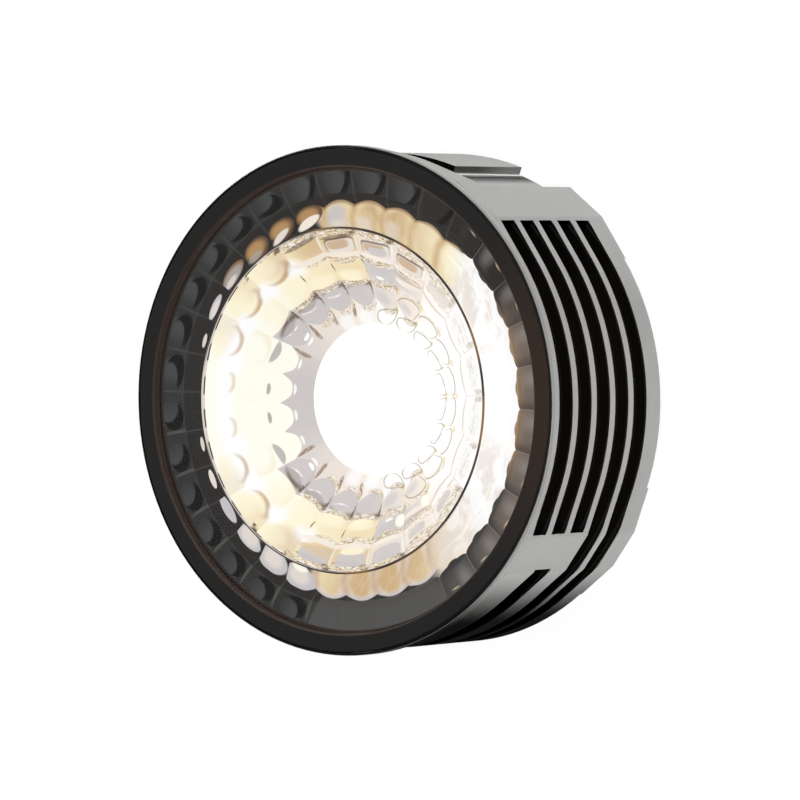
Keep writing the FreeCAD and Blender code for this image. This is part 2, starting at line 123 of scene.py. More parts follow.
class Num:
    """A number in a node graph. Arithmetic on it adds Math nodes."""

    def __init__(self, graph: Graph, socket: bpy.types.NodeSocket) -> None:
        """Wraps a socket of a graph."""
        self.graph = graph
        self.socket = socket

    def __add__(self, other: Num | float) -> Num:
        """Adds."""
        return self.graph.math("ADD", self, other)

    def __sub__(self, other: Num | float) -> Num:
        """Subtracts."""
        return self.graph.math("SUBTRACT", self, other)

    def __rsub__(self, other: float) -> Num:
        """Subtracts from a plain number."""
        return self.graph.math("SUBTRACT", other, self)

    def __mul__(self, other: Num | float) -> Num:
        """Multiplies."""
        return self.graph.math("MULTIPLY", self, other)

    def __truediv__(self, other: Num | float) -> Num:
        """Divides."""
        return self.graph.math("DIVIDE", self, other)

    __radd__ = __add__
    __rmul__ = __mul__

    def floor(self) -> Num:
        """Rounds down."""
        return self.graph.math("FLOOR", self)

    def fract(self) -> Num:
        """Keeps what is past the whole number."""
        return self.graph.math("FRACT", self)

    def abs(self) -> Num:
        """Drops the sign."""
        return self.graph.math("ABSOLUTE", self)

    def max(self, other: Num | float) -> Num:
        """Takes the larger one."""
        return self.graph.math("MAXIMUM", self, other)

    def power(self, exponent: float) -> Num:
        """Raises to a power."""
        return self.graph.math("POWER", self, exponent)

    def rise(self, low: float, high: float) -> Num:
        """Goes smoothly from 0 at low to 1 at high, or falls where low is above high.

        Args:
            low: where it is 0.
            high: where it is 1.
        Returns:
            The smooth step.
        """
        node = self.graph.add("ShaderNodeMapRange", interpolation_type="SMOOTHSTEP")
        self.graph.set(node, 0, self)
        for index, value in ((1, min(low, high)), (2, max(low, high))):
            node.inputs[index].default_value = value
        node.inputs[3].default_value = 0.0 if low < high else 1.0
        node.inputs[4].default_value = 1.0 if low < high else 0.0
        return Num(self.graph, node.outputs[0])

    def near(self, centre: float, width: float) -> Num:
        """Is 1 at the centre and falls smoothly to 0 a width to either side."""
        return (self - centre).abs().rise(width, 0.0)

    def between(self, low: float, high: float, edge: float) -> Num:
        """Is 1 between two values, with an edge of a width on either side."""
        return self.rise(low - edge, low + edge) * self.rise(high + edge, high - edge)


class Graph:
    """The node graph of one material, or of the surroundings."""

    def __init__(self, owner: bpy.types.Material | bpy.types.World) -> None:
        """Starts with the empty graph of its owner.

        Args:
            owner: the material or world that the graph belongs to.
        """
        owner.use_nodes = True
        self.owner = owner
        self.tree = owner.node_tree
        self.tree.nodes.clear()

    @classmethod
    def named(cls, name: str) -> Graph:
        """Starts the graph of a new material."""
        return cls(bpy.data.materials.new(name))

    def add(self, kind: str, **settings: object) -> bpy.types.Node:
        """Adds a node of a kind, with its settings.

        Args:
            kind: Blender's name of the node's type.
            settings: values for the node's own properties.
        Returns:
            The node.
        """
        node = self.tree.nodes.new(kind)
        for name, value in settings.items():
            setattr(node, name, value)
        return node

    def set(self, node: bpy.types.Node, name: str | int, value: object) -> None:
        """Gives a socket a plain value, or links a number or a socket to it.

        Args:
            node: the node whose input is set.
            name: the input's name or index.
            value: a plain value or a tone, which are set, or a number or a socket, which are linked.
        """
        if isinstance(value, Tone):
            value = value.value
        if isinstance(value, Num):
            value = value.socket
        if isinstance(value, bpy.types.NodeSocket):
            self.tree.links.new(value, node.inputs[name])
        else:
            node.inputs[name].default_value = value

    def math(self, kind: str, *values: Num | float) -> Num:
        """Adds a Math node on its values.

        Args:
            kind: the operation.
            values: its operands, in order.
        Returns:
            The result.
        """
        node = self.add("ShaderNodeMath", operation=kind)
        for index, value in enumerate(values):
            self.set(node, index, value)
        return Num(self, node.outputs[0])

    def parts(self, vector: bpy.types.NodeSocket) -> tuple[Num, Num, Num]:
        """Splits a vector into its three numbers.

        Args:
            vector: the vector's socket.
        Returns:
            Its x, y and z.
        """
        node = self.add("ShaderNodeSeparateXYZ")
        self.set(node, 0, vector)
        return Num(self, node.outputs[0]), Num(self, node.outputs[1]), Num(self, node.outputs[2])

    def joined(self, x: Num | float, y: Num | float, z: Num | float) -> bpy.types.NodeSocket:
        """Makes a vector of three numbers.

        Args:
            x, y, z: the numbers.
        Returns:
            The vector's socket.
        """
        node = self.add("ShaderNodeCombineXYZ")
        for index, value in enumerate((x, y, z)):
            self.set(node, index, value)
        return node.outputs[0]

    def place(self) -> bpy.types.NodeSocket:
        """Gives the place on the object, in metres."""
        return self.add("ShaderNodeTexCoord").outputs["Object"]

    def millimetres(self) -> tuple[Num, Num, Num, Num]:
        """Gives the place on the object in millimetres, and its distance from the axis."""
        x, y, z = (part * (1.0 / MM) for part in self.parts(self.place()))
        return x, y, z, (x * x + y * y).power(0.5)

    def cells(self) -> tuple[Num, Num]:
        """Gives the cell coordinates of a lens piece: columns round the axis and rows down the side."""
        across, down, _ = self.parts(self.add("ShaderNodeUVMap", uv_map="cells").outputs[0])
        return across, down

    def normal(self) -> bpy.types.NodeSocket:
        """Gives the true normal of the face."""
        return self.add("ShaderNodeNewGeometry").outputs["True Normal"]

    def noise(self, vector: bpy.types.NodeSocket, scale: float, detail: float = 3.0, rough: float = 0.55,
              warp: float = 0.0) -> Num:
        """Adds a noise of a scale, about 0 to 1 and mostly near a half.

        Args:
            vector: the place it is taken at.
            scale: how fine it is.
            detail: how many finer layers it has.
            rough: how strong the finer layers are.
            warp: how far it is twisted by itself.
        Returns:
            The noise.
        """
        node = self.add("ShaderNodeTexNoise")
        values = {"Vector": vector, "Scale": scale, "Detail": detail, "Roughness": rough, "Distortion": warp}
        for name, value in values.items():
            self.set(node, name, value)
        return Num(self, node.outputs[0])

    def ramp(self, place: Num, stops: Stops) -> bpy.types.NodeSocket:
        """Adds a colour ramp with its stops.

        Args:
            place: where on the ramp the colour is taken, 0 to 1.
            stops: positions and their tones, in order.
        Returns:
            The colour socket.
        """
        node = self.add("ShaderNodeValToRGB")
        self.set(node, 0, place)
        points = node.color_ramp.elements
        while len(points) < len(stops):
            points.new(1.0)
        for point, (position, tone) in zip(points, stops):
            point.position = position
            point.color = tone.value
        return node.outputs[0]

    def mix(self, share: Num, first: object, second: object) -> bpy.types.NodeSocket:
        """Mixes two colours: the first where the share is 0, the second where it is 1.

        Args:
            share: the share of the second colour.
            first, second: a colour, a tone or a colour socket each.
        Returns:
            The colour socket.
        """
        node = self.add("ShaderNodeMix", data_type="RGBA")
        self.set(node, 0, share)
        self.set(node, 6, first)
        self.set(node, 7, second)
        return node.outputs[2]

    def bump(self, height: Num, distance: float, strength: float = 1.0) -> bpy.types.NodeSocket:
        """Turns a height into a normal. The distance is in metres.

        Args:
            height: the height, about 0 to 1.
            distance: how high 1 is, in metres.
            strength: the share of the effect.
        Returns:
            The normal's socket.
        """
        node = self.add("ShaderNodeBump")
        for name, value in (("Strength", strength), ("Distance", distance), ("Height", height)):
            self.set(node, name, value)
        return node.outputs[0]

    def surface(self, **values: object) -> bpy.types.Node:
        """Ends the graph with a Principled surface. Socket names are given with underscores.

        Args:
            values: what each input is set or linked to, by its name in small letters.
        Returns:
            The surface's node.
        """
        shader = self.add("ShaderNodeBsdfPrincipled")
        for name, value in values.items():
            words = name.replace("_", " ").title().replace("Ior", "IOR")
            self.set(shader, words, value)
        return self.end(shader)

    def end(self, shader: bpy.types.Node) -> bpy.types.Node:
        """Links a shader to the material's output.

        Args:
            shader: the shader's node.
        Returns:
            The same node.
        """
        output = self.add("ShaderNodeOutputMaterial")
        self.tree.links.new(shader.outputs[0], output.inputs[0])
        return shader


# Finishes


class Pattern(Enum):
    """Ways in which a finish varies over its surface."""

    GRAIN = "grain"
    SPECKLE = "speckle"
    BRUSHED = "brushed"
    FIBRES = "fibres"
    TURNS = "turns"
    TRACKS = "tracks"


@dataclass(frozen=True)
class Finish:
    """A finish of one node: two tones mixed by a pattern, with matching gloss and relief.

    Fields give the tones, the roughness, the pattern with its scale per metre and its relief in metres, how
    metallic it is, the strength of its own glow and of a clear coat, and how far the roughness varies.
    """

    name: str
    dark: Colour
    light: Colour
    roughness: float
    pattern: Pattern = Pattern.GRAIN
    scale: float = 900.0
    relief: float = 0.00002
    metallic: float = 0.0
    glow: float = 0.0
    coat: float = 0.0
    vary: float = 0.16

    def texture(self, graph: Graph) -> Num:
        """Works out the pattern: a number from 0 to 1 over the surface.

        Args:
            graph: the graph it is added to.
        Returns:
            The share of the light tone.
        """
        place = graph.place()
        x, y, z = graph.parts(place)
        wobble = graph.noise(place, self.scale)
        if self.pattern is Pattern.SPECKLE:
            return wobble.rise(0.52, 0.66)
        if self.pattern is Pattern.BRUSHED:
            return graph.noise(graph.joined(x * 0.08, y, z * 0.08), self.scale).rise(0.3, 0.7)
        if self.pattern is Pattern.FIBRES:
            return graph.noise(graph.joined(x, y * 0.15, z), self.scale, 6.0, 0.7).rise(0.25, 0.75)
        if self.pattern is Pattern.TURNS:
            return (z * self.scale + wobble * 0.15).fract().near(0.5, 0.5)
        if self.pattern is Pattern.TRACKS:
            grid = (x * self.scale + wobble * 2.4).fract().near(0.5, 0.12)
            return grid.max((y * self.scale + wobble * 2.0).fract().near(0.5, 0.12)) * 0.8 + wobble * 0.2
        return wobble

    def build(self) -> bpy.types.Material:
        """Makes the material.

        Returns:
            The finished material.
        """
        graph = Graph.named(self.name)
        share = self.texture(graph)
        colour = graph.mix(share, self.dark, self.light)
        values = {
            "base_color": colour,
            "roughness": self.roughness + (share - 0.5) * self.vary,
            "metallic": self.metallic,
            "coat_weight": self.coat,
            "normal": graph.bump(share, self.relief),
        }
        if self.glow:
            values |= {"emission_color": colour, "emission_strength": self.glow}
        graph.surface(**values)
        return graph.owner


@dataclass(frozen=True)
class DrumPaint:
    """Satin grey powder paint on the cast drum, with painted shade in black within its cooling grooves.

    The painted shade is black where the distance from the axis is under groove_r, and on the groove walls
    that look to the front, away from the key recess and the two ends. The key's front and sides get painted
    shade, its foot a painted highlight with a painted shadow next to it, and the lip's outer edge painted
    shade; the lip's front face is painted dark like the front ring. A fine grain breaks up the gloss.
    """

    groove_r: float = 24.5
    wall_r: float = 24.6
    outer_r: float = 24.95
    pad_wall_z: float = 16.2
    ends: tuple[float, float] = (0.8, 18.4)
    recess_y: float = 20.2
    key_y: float = 20.4
    key_front_z: float = 12.5
    key_side_r: float = 23.8
    foot_r: float = 23.6
    foot_half: float = 9.7
    lip_z: float = 19.8
    lip_r: float = 22.5
    grain: float = 4200.0

    def black(self, graph: Graph) -> Num:
        """Works out the share of painted shade in black: the grooves, and their walls that look to the front.

        Args:
            graph: the graph it is added to.
        Returns:
            The share, 0 to 1.
        """
        _, y, z, radius = graph.millimetres()
        facing = graph.parts(graph.normal())[2]
        band = z.between(*self.ends, 0.1) * y.rise(self.recess_y + 0.1, self.recess_y)
        # Painted shade: black on the groove floors and on the groove walls that look to the front
        inside = radius.rise(self.groove_r + 0.05, self.groove_r) * band
        low = z.rise(self.pad_wall_z + 0.2, self.pad_wall_z)
        pad_wall = radius.rise(self.outer_r + 0.03, self.outer_r) * low
        wall = radius.rise(self.wall_r + 0.05, self.wall_r).max(pad_wall)
        return inside.max(facing.rise(0.3, 0.6) * wall * band * 0.99)

    def zones(self, graph: Graph) -> tuple[tuple[Num, Colour], ...]:
        """Lists the zones of painted light and shade round the key and on the lip, and the lip's dark front,
        as a share and a colour each.

        Args:
            graph: the graph they are added to.
        Returns:
            The zones, laid over one another in this order.
        """
        x, y, z, radius = graph.millimetres()
        sideways = graph.parts(graph.normal())[0].abs().rise(0.7, 0.8)
        high = y.rise(self.key_y, self.key_y + 0.1)
        key_side = sideways * high * radius.rise(self.key_side_r, self.key_side_r + 0.15) * z.rise(2.0, 9.5)
        foot_r, half = self.foot_r, self.foot_half
        foot = radius.rise(foot_r - 0.04, foot_r) * radius.rise(foot_r + 0.25, foot_r + 0.18)
        foot_shadow = x.abs().rise(half + 1.5, half) * radius.rise(foot_r, foot_r - 0.08)
        lip_edge_shade = z.rise(self.lip_z - 0.7, self.lip_z) * radius.rise(self.outer_r - 0.05, self.outer_r)
        lip_front = z.rise(self.lip_z - 0.02, self.lip_z + 0.04) * radius.rise(self.lip_r, self.lip_r + 0.5)
        return (
            # Painted shade on the key's sides, darker towards the front
            (key_side * 0.75, rgb(64, 63, 62)),
            # Painted highlight along the key's foot
            (foot * high * 0.8, rgb(226, 226, 224)),
            # Painted shadow on the recess floor next to the foot
            (foot_shadow * y.rise(self.recess_y - 0.5, self.recess_y + 0.5) * 0.9, rgb(74, 74, 73)),
            # Painted shade on the lip's outer edge, towards the front
            (lip_edge_shade * 0.45, rgb(120, 120, 118)),
            # The lip's front face is painted dark like the front ring
            (lip_front, rgb(36, 35, 34)),
        )

    def build(self) -> bpy.types.Material:
        """Makes the material.

        Returns:
            The finished material.
        """
        graph = Graph.named("drum_grey_paint")
        _, y, z, _ = graph.millimetres()
        dark = self.black(graph)
        # Painted shade: the key's front face, which looks to the front, is black like the grooves
        key_front = (graph.parts(graph.normal())[2].rise(0.5, 0.8) * y.rise(self.key_y, self.key_y + 0.1)
                     * z.between(self.key_front_z, self.key_front_z + 0.3, 0.1))
        place = graph.place()
        fine = graph.noise(place, self.grain, 2.0)
        broad = graph.noise(place, 90.0, 3.0)
        colour = graph.mix(broad, rgb(181, 180, 178), rgb(193, 193, 191))
        colour = graph.mix(fine.rise(0.3, 0.75) * 0.22, colour, rgb(160, 159, 156))
        # Tone of the painted shade in the grooves and on the key's front
        black = graph.mix(broad, rgb(17, 15, 13), rgb(27, 23, 20))
        colour = graph.mix(dark.max(key_front), colour, black)
        for share, tone in self.zones(graph):
            colour = graph.mix(share, colour, tone)
        graph.surface(
            base_color=colour,
            roughness=0.5 + fine * 0.12 + dark * 0.15,
            specular_ior_level=0.0,
            normal=graph.bump(fine + broad * 0.4, 0.000012),
        )
        return graph.owner


@dataclass(frozen=True)
class RingPaint:
    """Satin black paint of the front ring, with painted light: a brown cast of the lit optic towards +X,
    and a painted warm glow on its inner wall.
    """

    warm_x: tuple[float, float] = (8.0, 24.0)
    inner_r: float = 23.0

    def build(self) -> bpy.types.Material:
        """Makes the material.

        Returns:
            The finished material.
        """
        graph = Graph.named("ring_black_paint")
        x, y, _, radius = graph.millimetres()
        # Painted light: brown towards +X, and a warm glow on the inner wall, from the lit optic
        warm = x.rise(*self.warm_x) * (y / radius).abs().rise(0.75, 0.1)
        inner = radius.rise(self.inner_r + 0.12, self.inner_r - 0.04)
        fine = graph.noise(graph.place(), 3600.0, 2.0)
        cold = graph.mix(fine, rgb(31, 30, 30), rgb(36, 35, 34))
        brown = graph.mix(fine, rgb(47, 37, 31), rgb(54, 43, 36))
        graph.surface(
            base_color=graph.mix(warm.max(inner * 0.7), cold, brown),
            roughness=0.42 + fine * 0.1,
            specular_ior_level=0.1,
            emission_color=graph.mix(inner, (0.0, 0.0, 0.0, 1.0), rgb(45, 37, 33)),
            emission_strength=1.0,
            normal=graph.bump(fine, 0.000008),
        )
        return graph.owner


class Half(Enum):
    """Which half of the optic a stroke is laid on: the one towards +Y, the one away from it, or both."""

    BOTH = "both"
    UPPER = "upper"
    LOWER = "lower"


@dataclass(frozen=True)
class Cell:
    """Where a point lies among the cells of the optic, as numbers in a graph.

    The column is counted from the far side and the row from the rim. In the cell, w runs away from the far
    side and t down, both from 0 to 1. Upper is 1 on the half towards +Y. Grain is a soft noise. Caustics,
    where the optic has them, are painted light: a colour of fine light and dark veins.
    """

    column: Num
    w: Num
    row: Num
    t: Num
    upper: Num
    grain: Num
    caustics: bpy.types.NodeSocket | None = None


@dataclass(frozen=True)
class Stroke:
    """One soft shape of light or shade that repeats in the cells of a row.

    An ellipse with a centre (w, t) and half sizes has the value (dw / width) squared plus (dt / height)
    squared, where dt is sheared by a slope times dw. A power above 2 makes the ellipse boxy. The stroke
    covers where the value is under 1. A bite, the same ellipse moved by a step, may be taken out of it,
    which leaves a crescent. Where a line width is given, only the ellipse's outline is drawn. A grade lets
    it rise from nothing at w = 0. The stroke is laid on the cells of a span, fades over a number of cells
    beyond it, and grain may break it up. A stroke without a tone is laid in the painted caustics.
    """

    row: int
    tone: Tone | None
    strength: float
    span: tuple[int, int]
    centre: tuple[float, float]
    size: tuple[float, float]
    slope: float = 0.0
    bite: tuple[float, float] | None = None
    soft: float = 0.35
    line: float = 0.0
    broken: float = 0.0
    grade: float = 0.0
    fade: float = 0.5
    half: Half = Half.BOTH
    power: float = 2.0

    def ellipse(self, cell: Cell, step: tuple[float, float]) -> Num:
        """Gives the ellipse's value, moved by a step.

        Args:
            cell: where the point lies among the cells.
            step: how far the ellipse is moved, in w and t.
        Returns:
            The value: 0 in the centre and 1 on the ellipse.
        """
        dw = cell.w - (self.centre[0] + step[0])
        dt = cell.t - (self.centre[1] + step[1]) + dw * self.slope
        return (dw / self.size[0]).abs().power(self.power) + (dt / self.size[1]).abs().power(self.power)

    def mask(self, cell: Cell) -> Num:
        """Works out how strongly the stroke covers each point, 0 to 1.

        Args:
            cell: where the point lies among the cells.
        Returns:
            The share of the stroke.
        """
        value = self.ellipse(cell, (0.0, 0.0))
        cover = value.near(1.0, self.line) if self.line else value.rise(1.0 + self.soft, 1.0 - self.soft)
        if self.bite:
            cover = cover * self.ellipse(cell, self.bite).rise(1.0 - self.soft, 1.0 + self.soft)
        if self.grade:
            cover = cover * cell.w.rise(0.0, self.grade)
        if self.broken:
            cover = cover * cell.grain.rise(0.5 - 0.3 * (1.0 - self.broken), 0.5 + 0.1 * self.broken)
        middle, reach = (self.span[0] + self.span[1]) / 2, (self.span[1] - self.span[0]) / 2
        gate = (cell.column - middle).abs().rise(reach + self.fade + 0.3, reach + 0.2)
        cover = cover * gate * cell.row.near(self.row, 0.5)
        if self.half is Half.UPPER:
            cover = cover * cell.upper
        if self.half is Half.LOWER:
            cover = cover * (1.0 - cell.upper)
        return cover * self.strength

    def lay(self, graph: Graph, cell: Cell, colour: bpy.types.NodeSocket) -> bpy.types.NodeSocket:
        """Lays the stroke over a colour, in its own tone or, without one, as painted caustics."""
        return graph.mix(self.mask(cell), colour, self.tone or cell.caustics)


BOWL_STROKES = (
    # Rim row: glow below, warm shade above, a rounded shadow at the foot and a dark edge
    Stroke(0, Tone.WHITE, 1.0, (0, 0), (0.5, 0.95), (0.9, 0.6), soft=0.8),
    Stroke(0, Tone.WHITE, 1.0, (1, 1), (0.35, 1.0), (0.8, 0.6), soft=0.8),
    Stroke(0, Tone.TAN, 0.35, (1, 2), (1.0, 0.25), (0.6, 0.5), soft=0.8),
    Stroke(0, Tone.OCHRE, 0.4, (3, 5), (1.0, 0.4), (0.7, 0.5), soft=0.8),
    Stroke(0, Tone.TAN, 0.6, (0, 0), (0.55, 0.86), (0.24, 0.16), bite=(0.0, -0.12), soft=0.5),
    Stroke(0, Tone.OCHRE, 0.7, (1, 1), (0.54, 0.72), (0.36, 0.28), bite=(-0.05, -0.12), soft=0.4),
    Stroke(0, Tone.OCHRE, 0.8, (2, 2), (0.54, 0.7), (0.4, 0.3), bite=(-0.09, -0.12), soft=0.45),
    Stroke(0, Tone.OCHRE, 0.9, (3, 3), (0.58, 0.68), (0.4, 0.3), bite=(-0.12, -0.12), soft=0.5,
           half=Half.UPPER),
    Stroke(0, Tone.STRAW, 0.6, (1, 3), (0.4, 0.35), (0.3, 0.25), soft=0.9),
    Stroke(1, Tone.SAND, 0.5, (1, 4), (0.6, 0.62), (0.46, 0.42), bite=(-0.14, -0.12), soft=0.7),
    Stroke(0, None, 1.0, (3, 3), (0.7, 0.03), (0.45, 0.06), broken=0.7),
    Stroke(0, None, 1.0, (4, 6), (0.5, 0.08), (0.62, 0.2), broken=0.3),
    Stroke(0, Tone.BROWN, 0.75, (4, 5), (0.5, 0.27), (0.46, 0.07), slope=0.12, soft=0.5, broken=0.2),
    Stroke(0, Tone.WHITE, 0.5, (4, 7), (0.98, 0.5), (0.05, 0.36), soft=0.7),
    Stroke(0, None, 0.8, (7, 8), (0.5, 0.14), (0.65, 0.26), broken=0.4),
    Stroke(0, None, 0.4, (8, 10), (0.5, 0.5), (0.42, 0.34), broken=0.7),
    Stroke(0, Tone.OLIVE, 0.6, (8, 10), (0.92, 0.3), (0.06, 0.24), soft=0.7, broken=0.5),
    # Rim row, upper half: framed windows
    Stroke(0, Tone.BROWN, 0.8, (5, 7), (0.5, 0.54), (0.4, 0.26), slope=0.12, half=Half.UPPER, power=5.0),
    Stroke(0, Tone.SHELL, 1.0, (5, 8), (0.51, 0.59), (0.38, 0.24), slope=0.12, half=Half.UPPER, power=5.0),
    Stroke(0, Tone.OCHRE, 0.7, (5, 7), (0.46, 0.52), (0.3, 0.15), slope=0.12, soft=0.7, half=Half.UPPER,
           power=4.0),
    Stroke(0, Tone.LILAC, 0.95, (6, 6), (0.56, 0.62), (0.26, 0.15), slope=0.12, half=Half.UPPER, power=4.0),
    # Rim row, lower half: grey windows with a warm foot
    Stroke(0, Tone.LILAC, 0.9, (4, 6), (0.5, 0.42), (0.4, 0.24), soft=0.3, half=Half.LOWER, power=4.0),
    Stroke(0, Tone.TAN, 0.7, (4, 4), (0.45, 0.56), (0.5, 0.12), slope=0.2, half=Half.LOWER),
    Stroke(0, Tone.STRAW, 0.9, (5, 5), (0.5, 0.72), (0.34, 0.16), half=Half.LOWER),
    Stroke(0, Tone.LILAC, 0.8, (7, 8), (0.45, 0.58), (0.28, 0.16), half=Half.LOWER, power=4.0),
    Stroke(0, Tone.BLUSH, 0.85, (4, 7), (0.5, 0.95), (0.7, 0.16)),
    Stroke(0, None, 0.7, (7, 9), (0.5, 0.84), (0.6, 0.08), broken=0.6),
    Stroke(0, Tone.SLATE, 0.35, (8, 10), (0.5, 0.55), (0.3, 0.2), bite=(0.03, 0.03)),
    Stroke(0, Tone.BROWN, 0.9, (2, 6), (0.95, 0.1), (0.14, 0.1), slope=0.5, broken=0.7),
    # Second row: warm pillows with a dark dash, turning grey and then white
    Stroke(1, Tone.STRAW, 0.5, (2, 3), (0.8, 0.5), (0.5, 0.6), soft=0.9),
    Stroke(1, Tone.STRAW, 0.9, (4, 5), (0.42, 0.78), (0.4, 0.3), soft=0.8),
    Stroke(1, None, 1.0, (4, 4), (0.65, 0.03), (0.4, 0.09), broken=0.6),
    Stroke(1, None, 1.0, (5, 6), (0.5, 0.07), (0.6, 0.16), broken=0.3),
    Stroke(1, None, 0.8, (7, 7), (0.5, 0.06), (0.6, 0.14), broken=0.5),
    Stroke(1, Tone.BLUSH, 0.9, (7, 7), (0.5, 0.36), (0.6, 0.12), slope=0.3),
    Stroke(1, Tone.CREAM, 0.9, (6, 6), (0.45, 0.68), (0.14, 0.08)),
    Stroke(1, Tone.CREAM, 0.9, (6, 7), (0.85, 0.55), (0.16, 0.3), half=Half.LOWER),
    Stroke(1, None, 0.9, (6, 8), (0.5, 0.95), (0.6, 0.13), broken=0.4),
    Stroke(1, Tone.BROWN, 0.95, (3, 4), (1.0, 0.45), (0.05, 0.17), broken=0.3),
    Stroke(1, Tone.BROWN, 0.95, (5, 5), (0.98, 0.42), (0.09, 0.26), bite=(-0.07, 0.05), broken=0.2),
    Stroke(1, Tone.OCHRE, 0.55, (7, 10), (0.5, 0.2), (1.2, 0.035), soft=0.7),
    # Third row: grey caps and dashes over lilac pillows, then leaf outlines on white ones
    Stroke(2, Tone.SLATE, 0.9, (0, 0), (0.45, 0.2), (0.18, 0.07)),
    Stroke(2, Tone.SLATE, 0.8, (1, 1), (0.62, 0.22), (0.36, 0.13), slope=-0.3),
    Stroke(2, Tone.SLATE, 0.7, (2, 3), (0.52, 0.2), (0.42, 0.18), soft=0.5),
    Stroke(2, Tone.BROWN, 0.9, (2, 5), (0.55, 0.5), (0.52, 0.49), bite=(-0.08, 0.12), soft=0.3, broken=0.2),
    Stroke(2, Tone.WHITE, 0.8, (2, 4), (0.42, 0.4), (0.32, 0.035), slope=-0.15, broken=0.8),
    Stroke(2, None, 1.0, (3, 6), (0.5, 0.06), (0.6, 0.13), broken=0.3),
    Stroke(2, Tone.UMBER, 0.8, (2, 5), (0.93, 0.4), (0.12, 0.3), bite=(-0.1, 0.03), soft=0.6, broken=0.3),
    Stroke(2, Tone.BROWN, 0.8, (2, 5), (0.97, 0.3), (0.08, 0.22), broken=0.6),
    Stroke(2, Tone.WHITE, 1.0, (2, 2), (0.55, 0.88), (0.17, 0.08)),
    Stroke(2, Tone.UMBER, 0.75, (6, 8), (0.8, 0.35), (0.32, 0.42), bite=(-0.08, 0.06), broken=0.2),
    Stroke(2, Tone.LILAC, 0.7, (6, 7), (0.35, 0.6), (0.3, 0.3), soft=0.8),
    Stroke(2, Tone.SAND, 0.9, (7, 10), (1.0, 0.06), (0.1, 0.2), soft=0.5),
    Stroke(2, Tone.SAND, 0.9, (7, 10), (0.0, 0.06), (0.1, 0.2), soft=0.5),
    Stroke(2, Tone.OLIVE, 0.8, (7, 10), (0.5, 0.52), (0.46, 0.47), slope=0.15, line=0.2),
    # Last row: white dashes, brown corners and slanted light
    Stroke(3, Tone.WHITE, 0.9, (0, 2), (0.5, 0.13), (0.2, 0.07)),
    Stroke(3, Tone.UMBER, 0.85, (1, 4), (0.94, 0.3), (0.1, 0.26), soft=0.6, broken=0.3),
    Stroke(3, None, 1.0, (3, 7), (0.7, 0.12), (0.42, 0.2), broken=0.4),
    Stroke(3, Tone.WHITE, 0.7, (4, 8), (0.45, 0.7), (0.36, 0.5), soft=0.7),
    Stroke(3, Tone.SAND, 0.8, (6, 10), (1.0, 0.1), (0.12, 0.2), soft=0.5),
    Stroke(3, Tone.OLIVE, 0.75, (6, 10), (0.5, 0.5), (0.45, 0.48), slope=0.3, line=0.22),
)


BOWL_GROUNDS = (
    [(0.0, Tone.CREAM), (0.16, Tone.CREAM), (0.24, Tone.STRAW), (0.33, Tone.STRAW), (0.4, Tone.SAND),
     (0.46, Tone.TAN), (0.52, Tone.SAND), (0.6, Tone.SHELL), (0.7, Tone.BLUSH), (0.85, Tone.WHITE)],
    [(0.0, Tone.CREAM), (0.24, Tone.CREAM), (0.36, Tone.STRAW), (0.46, Tone.SAND), (0.53, Tone.SAND),
     (0.57, Tone.LILAC), (0.66, Tone.LILAC), (0.72, Tone.BLUSH), (0.8, Tone.WHITE)],
    [(0.0, Tone.CREAM), (0.16, Tone.CREAM), (0.2, Tone.LILAC), (0.5, Tone.LILAC), (0.6, Tone.SHELL),
     (0.7, Tone.BLUSH), (0.8, Tone.WHITE)],
    [(0.0, Tone.LILAC), (0.1, Tone.LILAC), (0.28, Tone.SHELL), (0.45, Tone.BLUSH), (0.62, Tone.WHITE)],
)


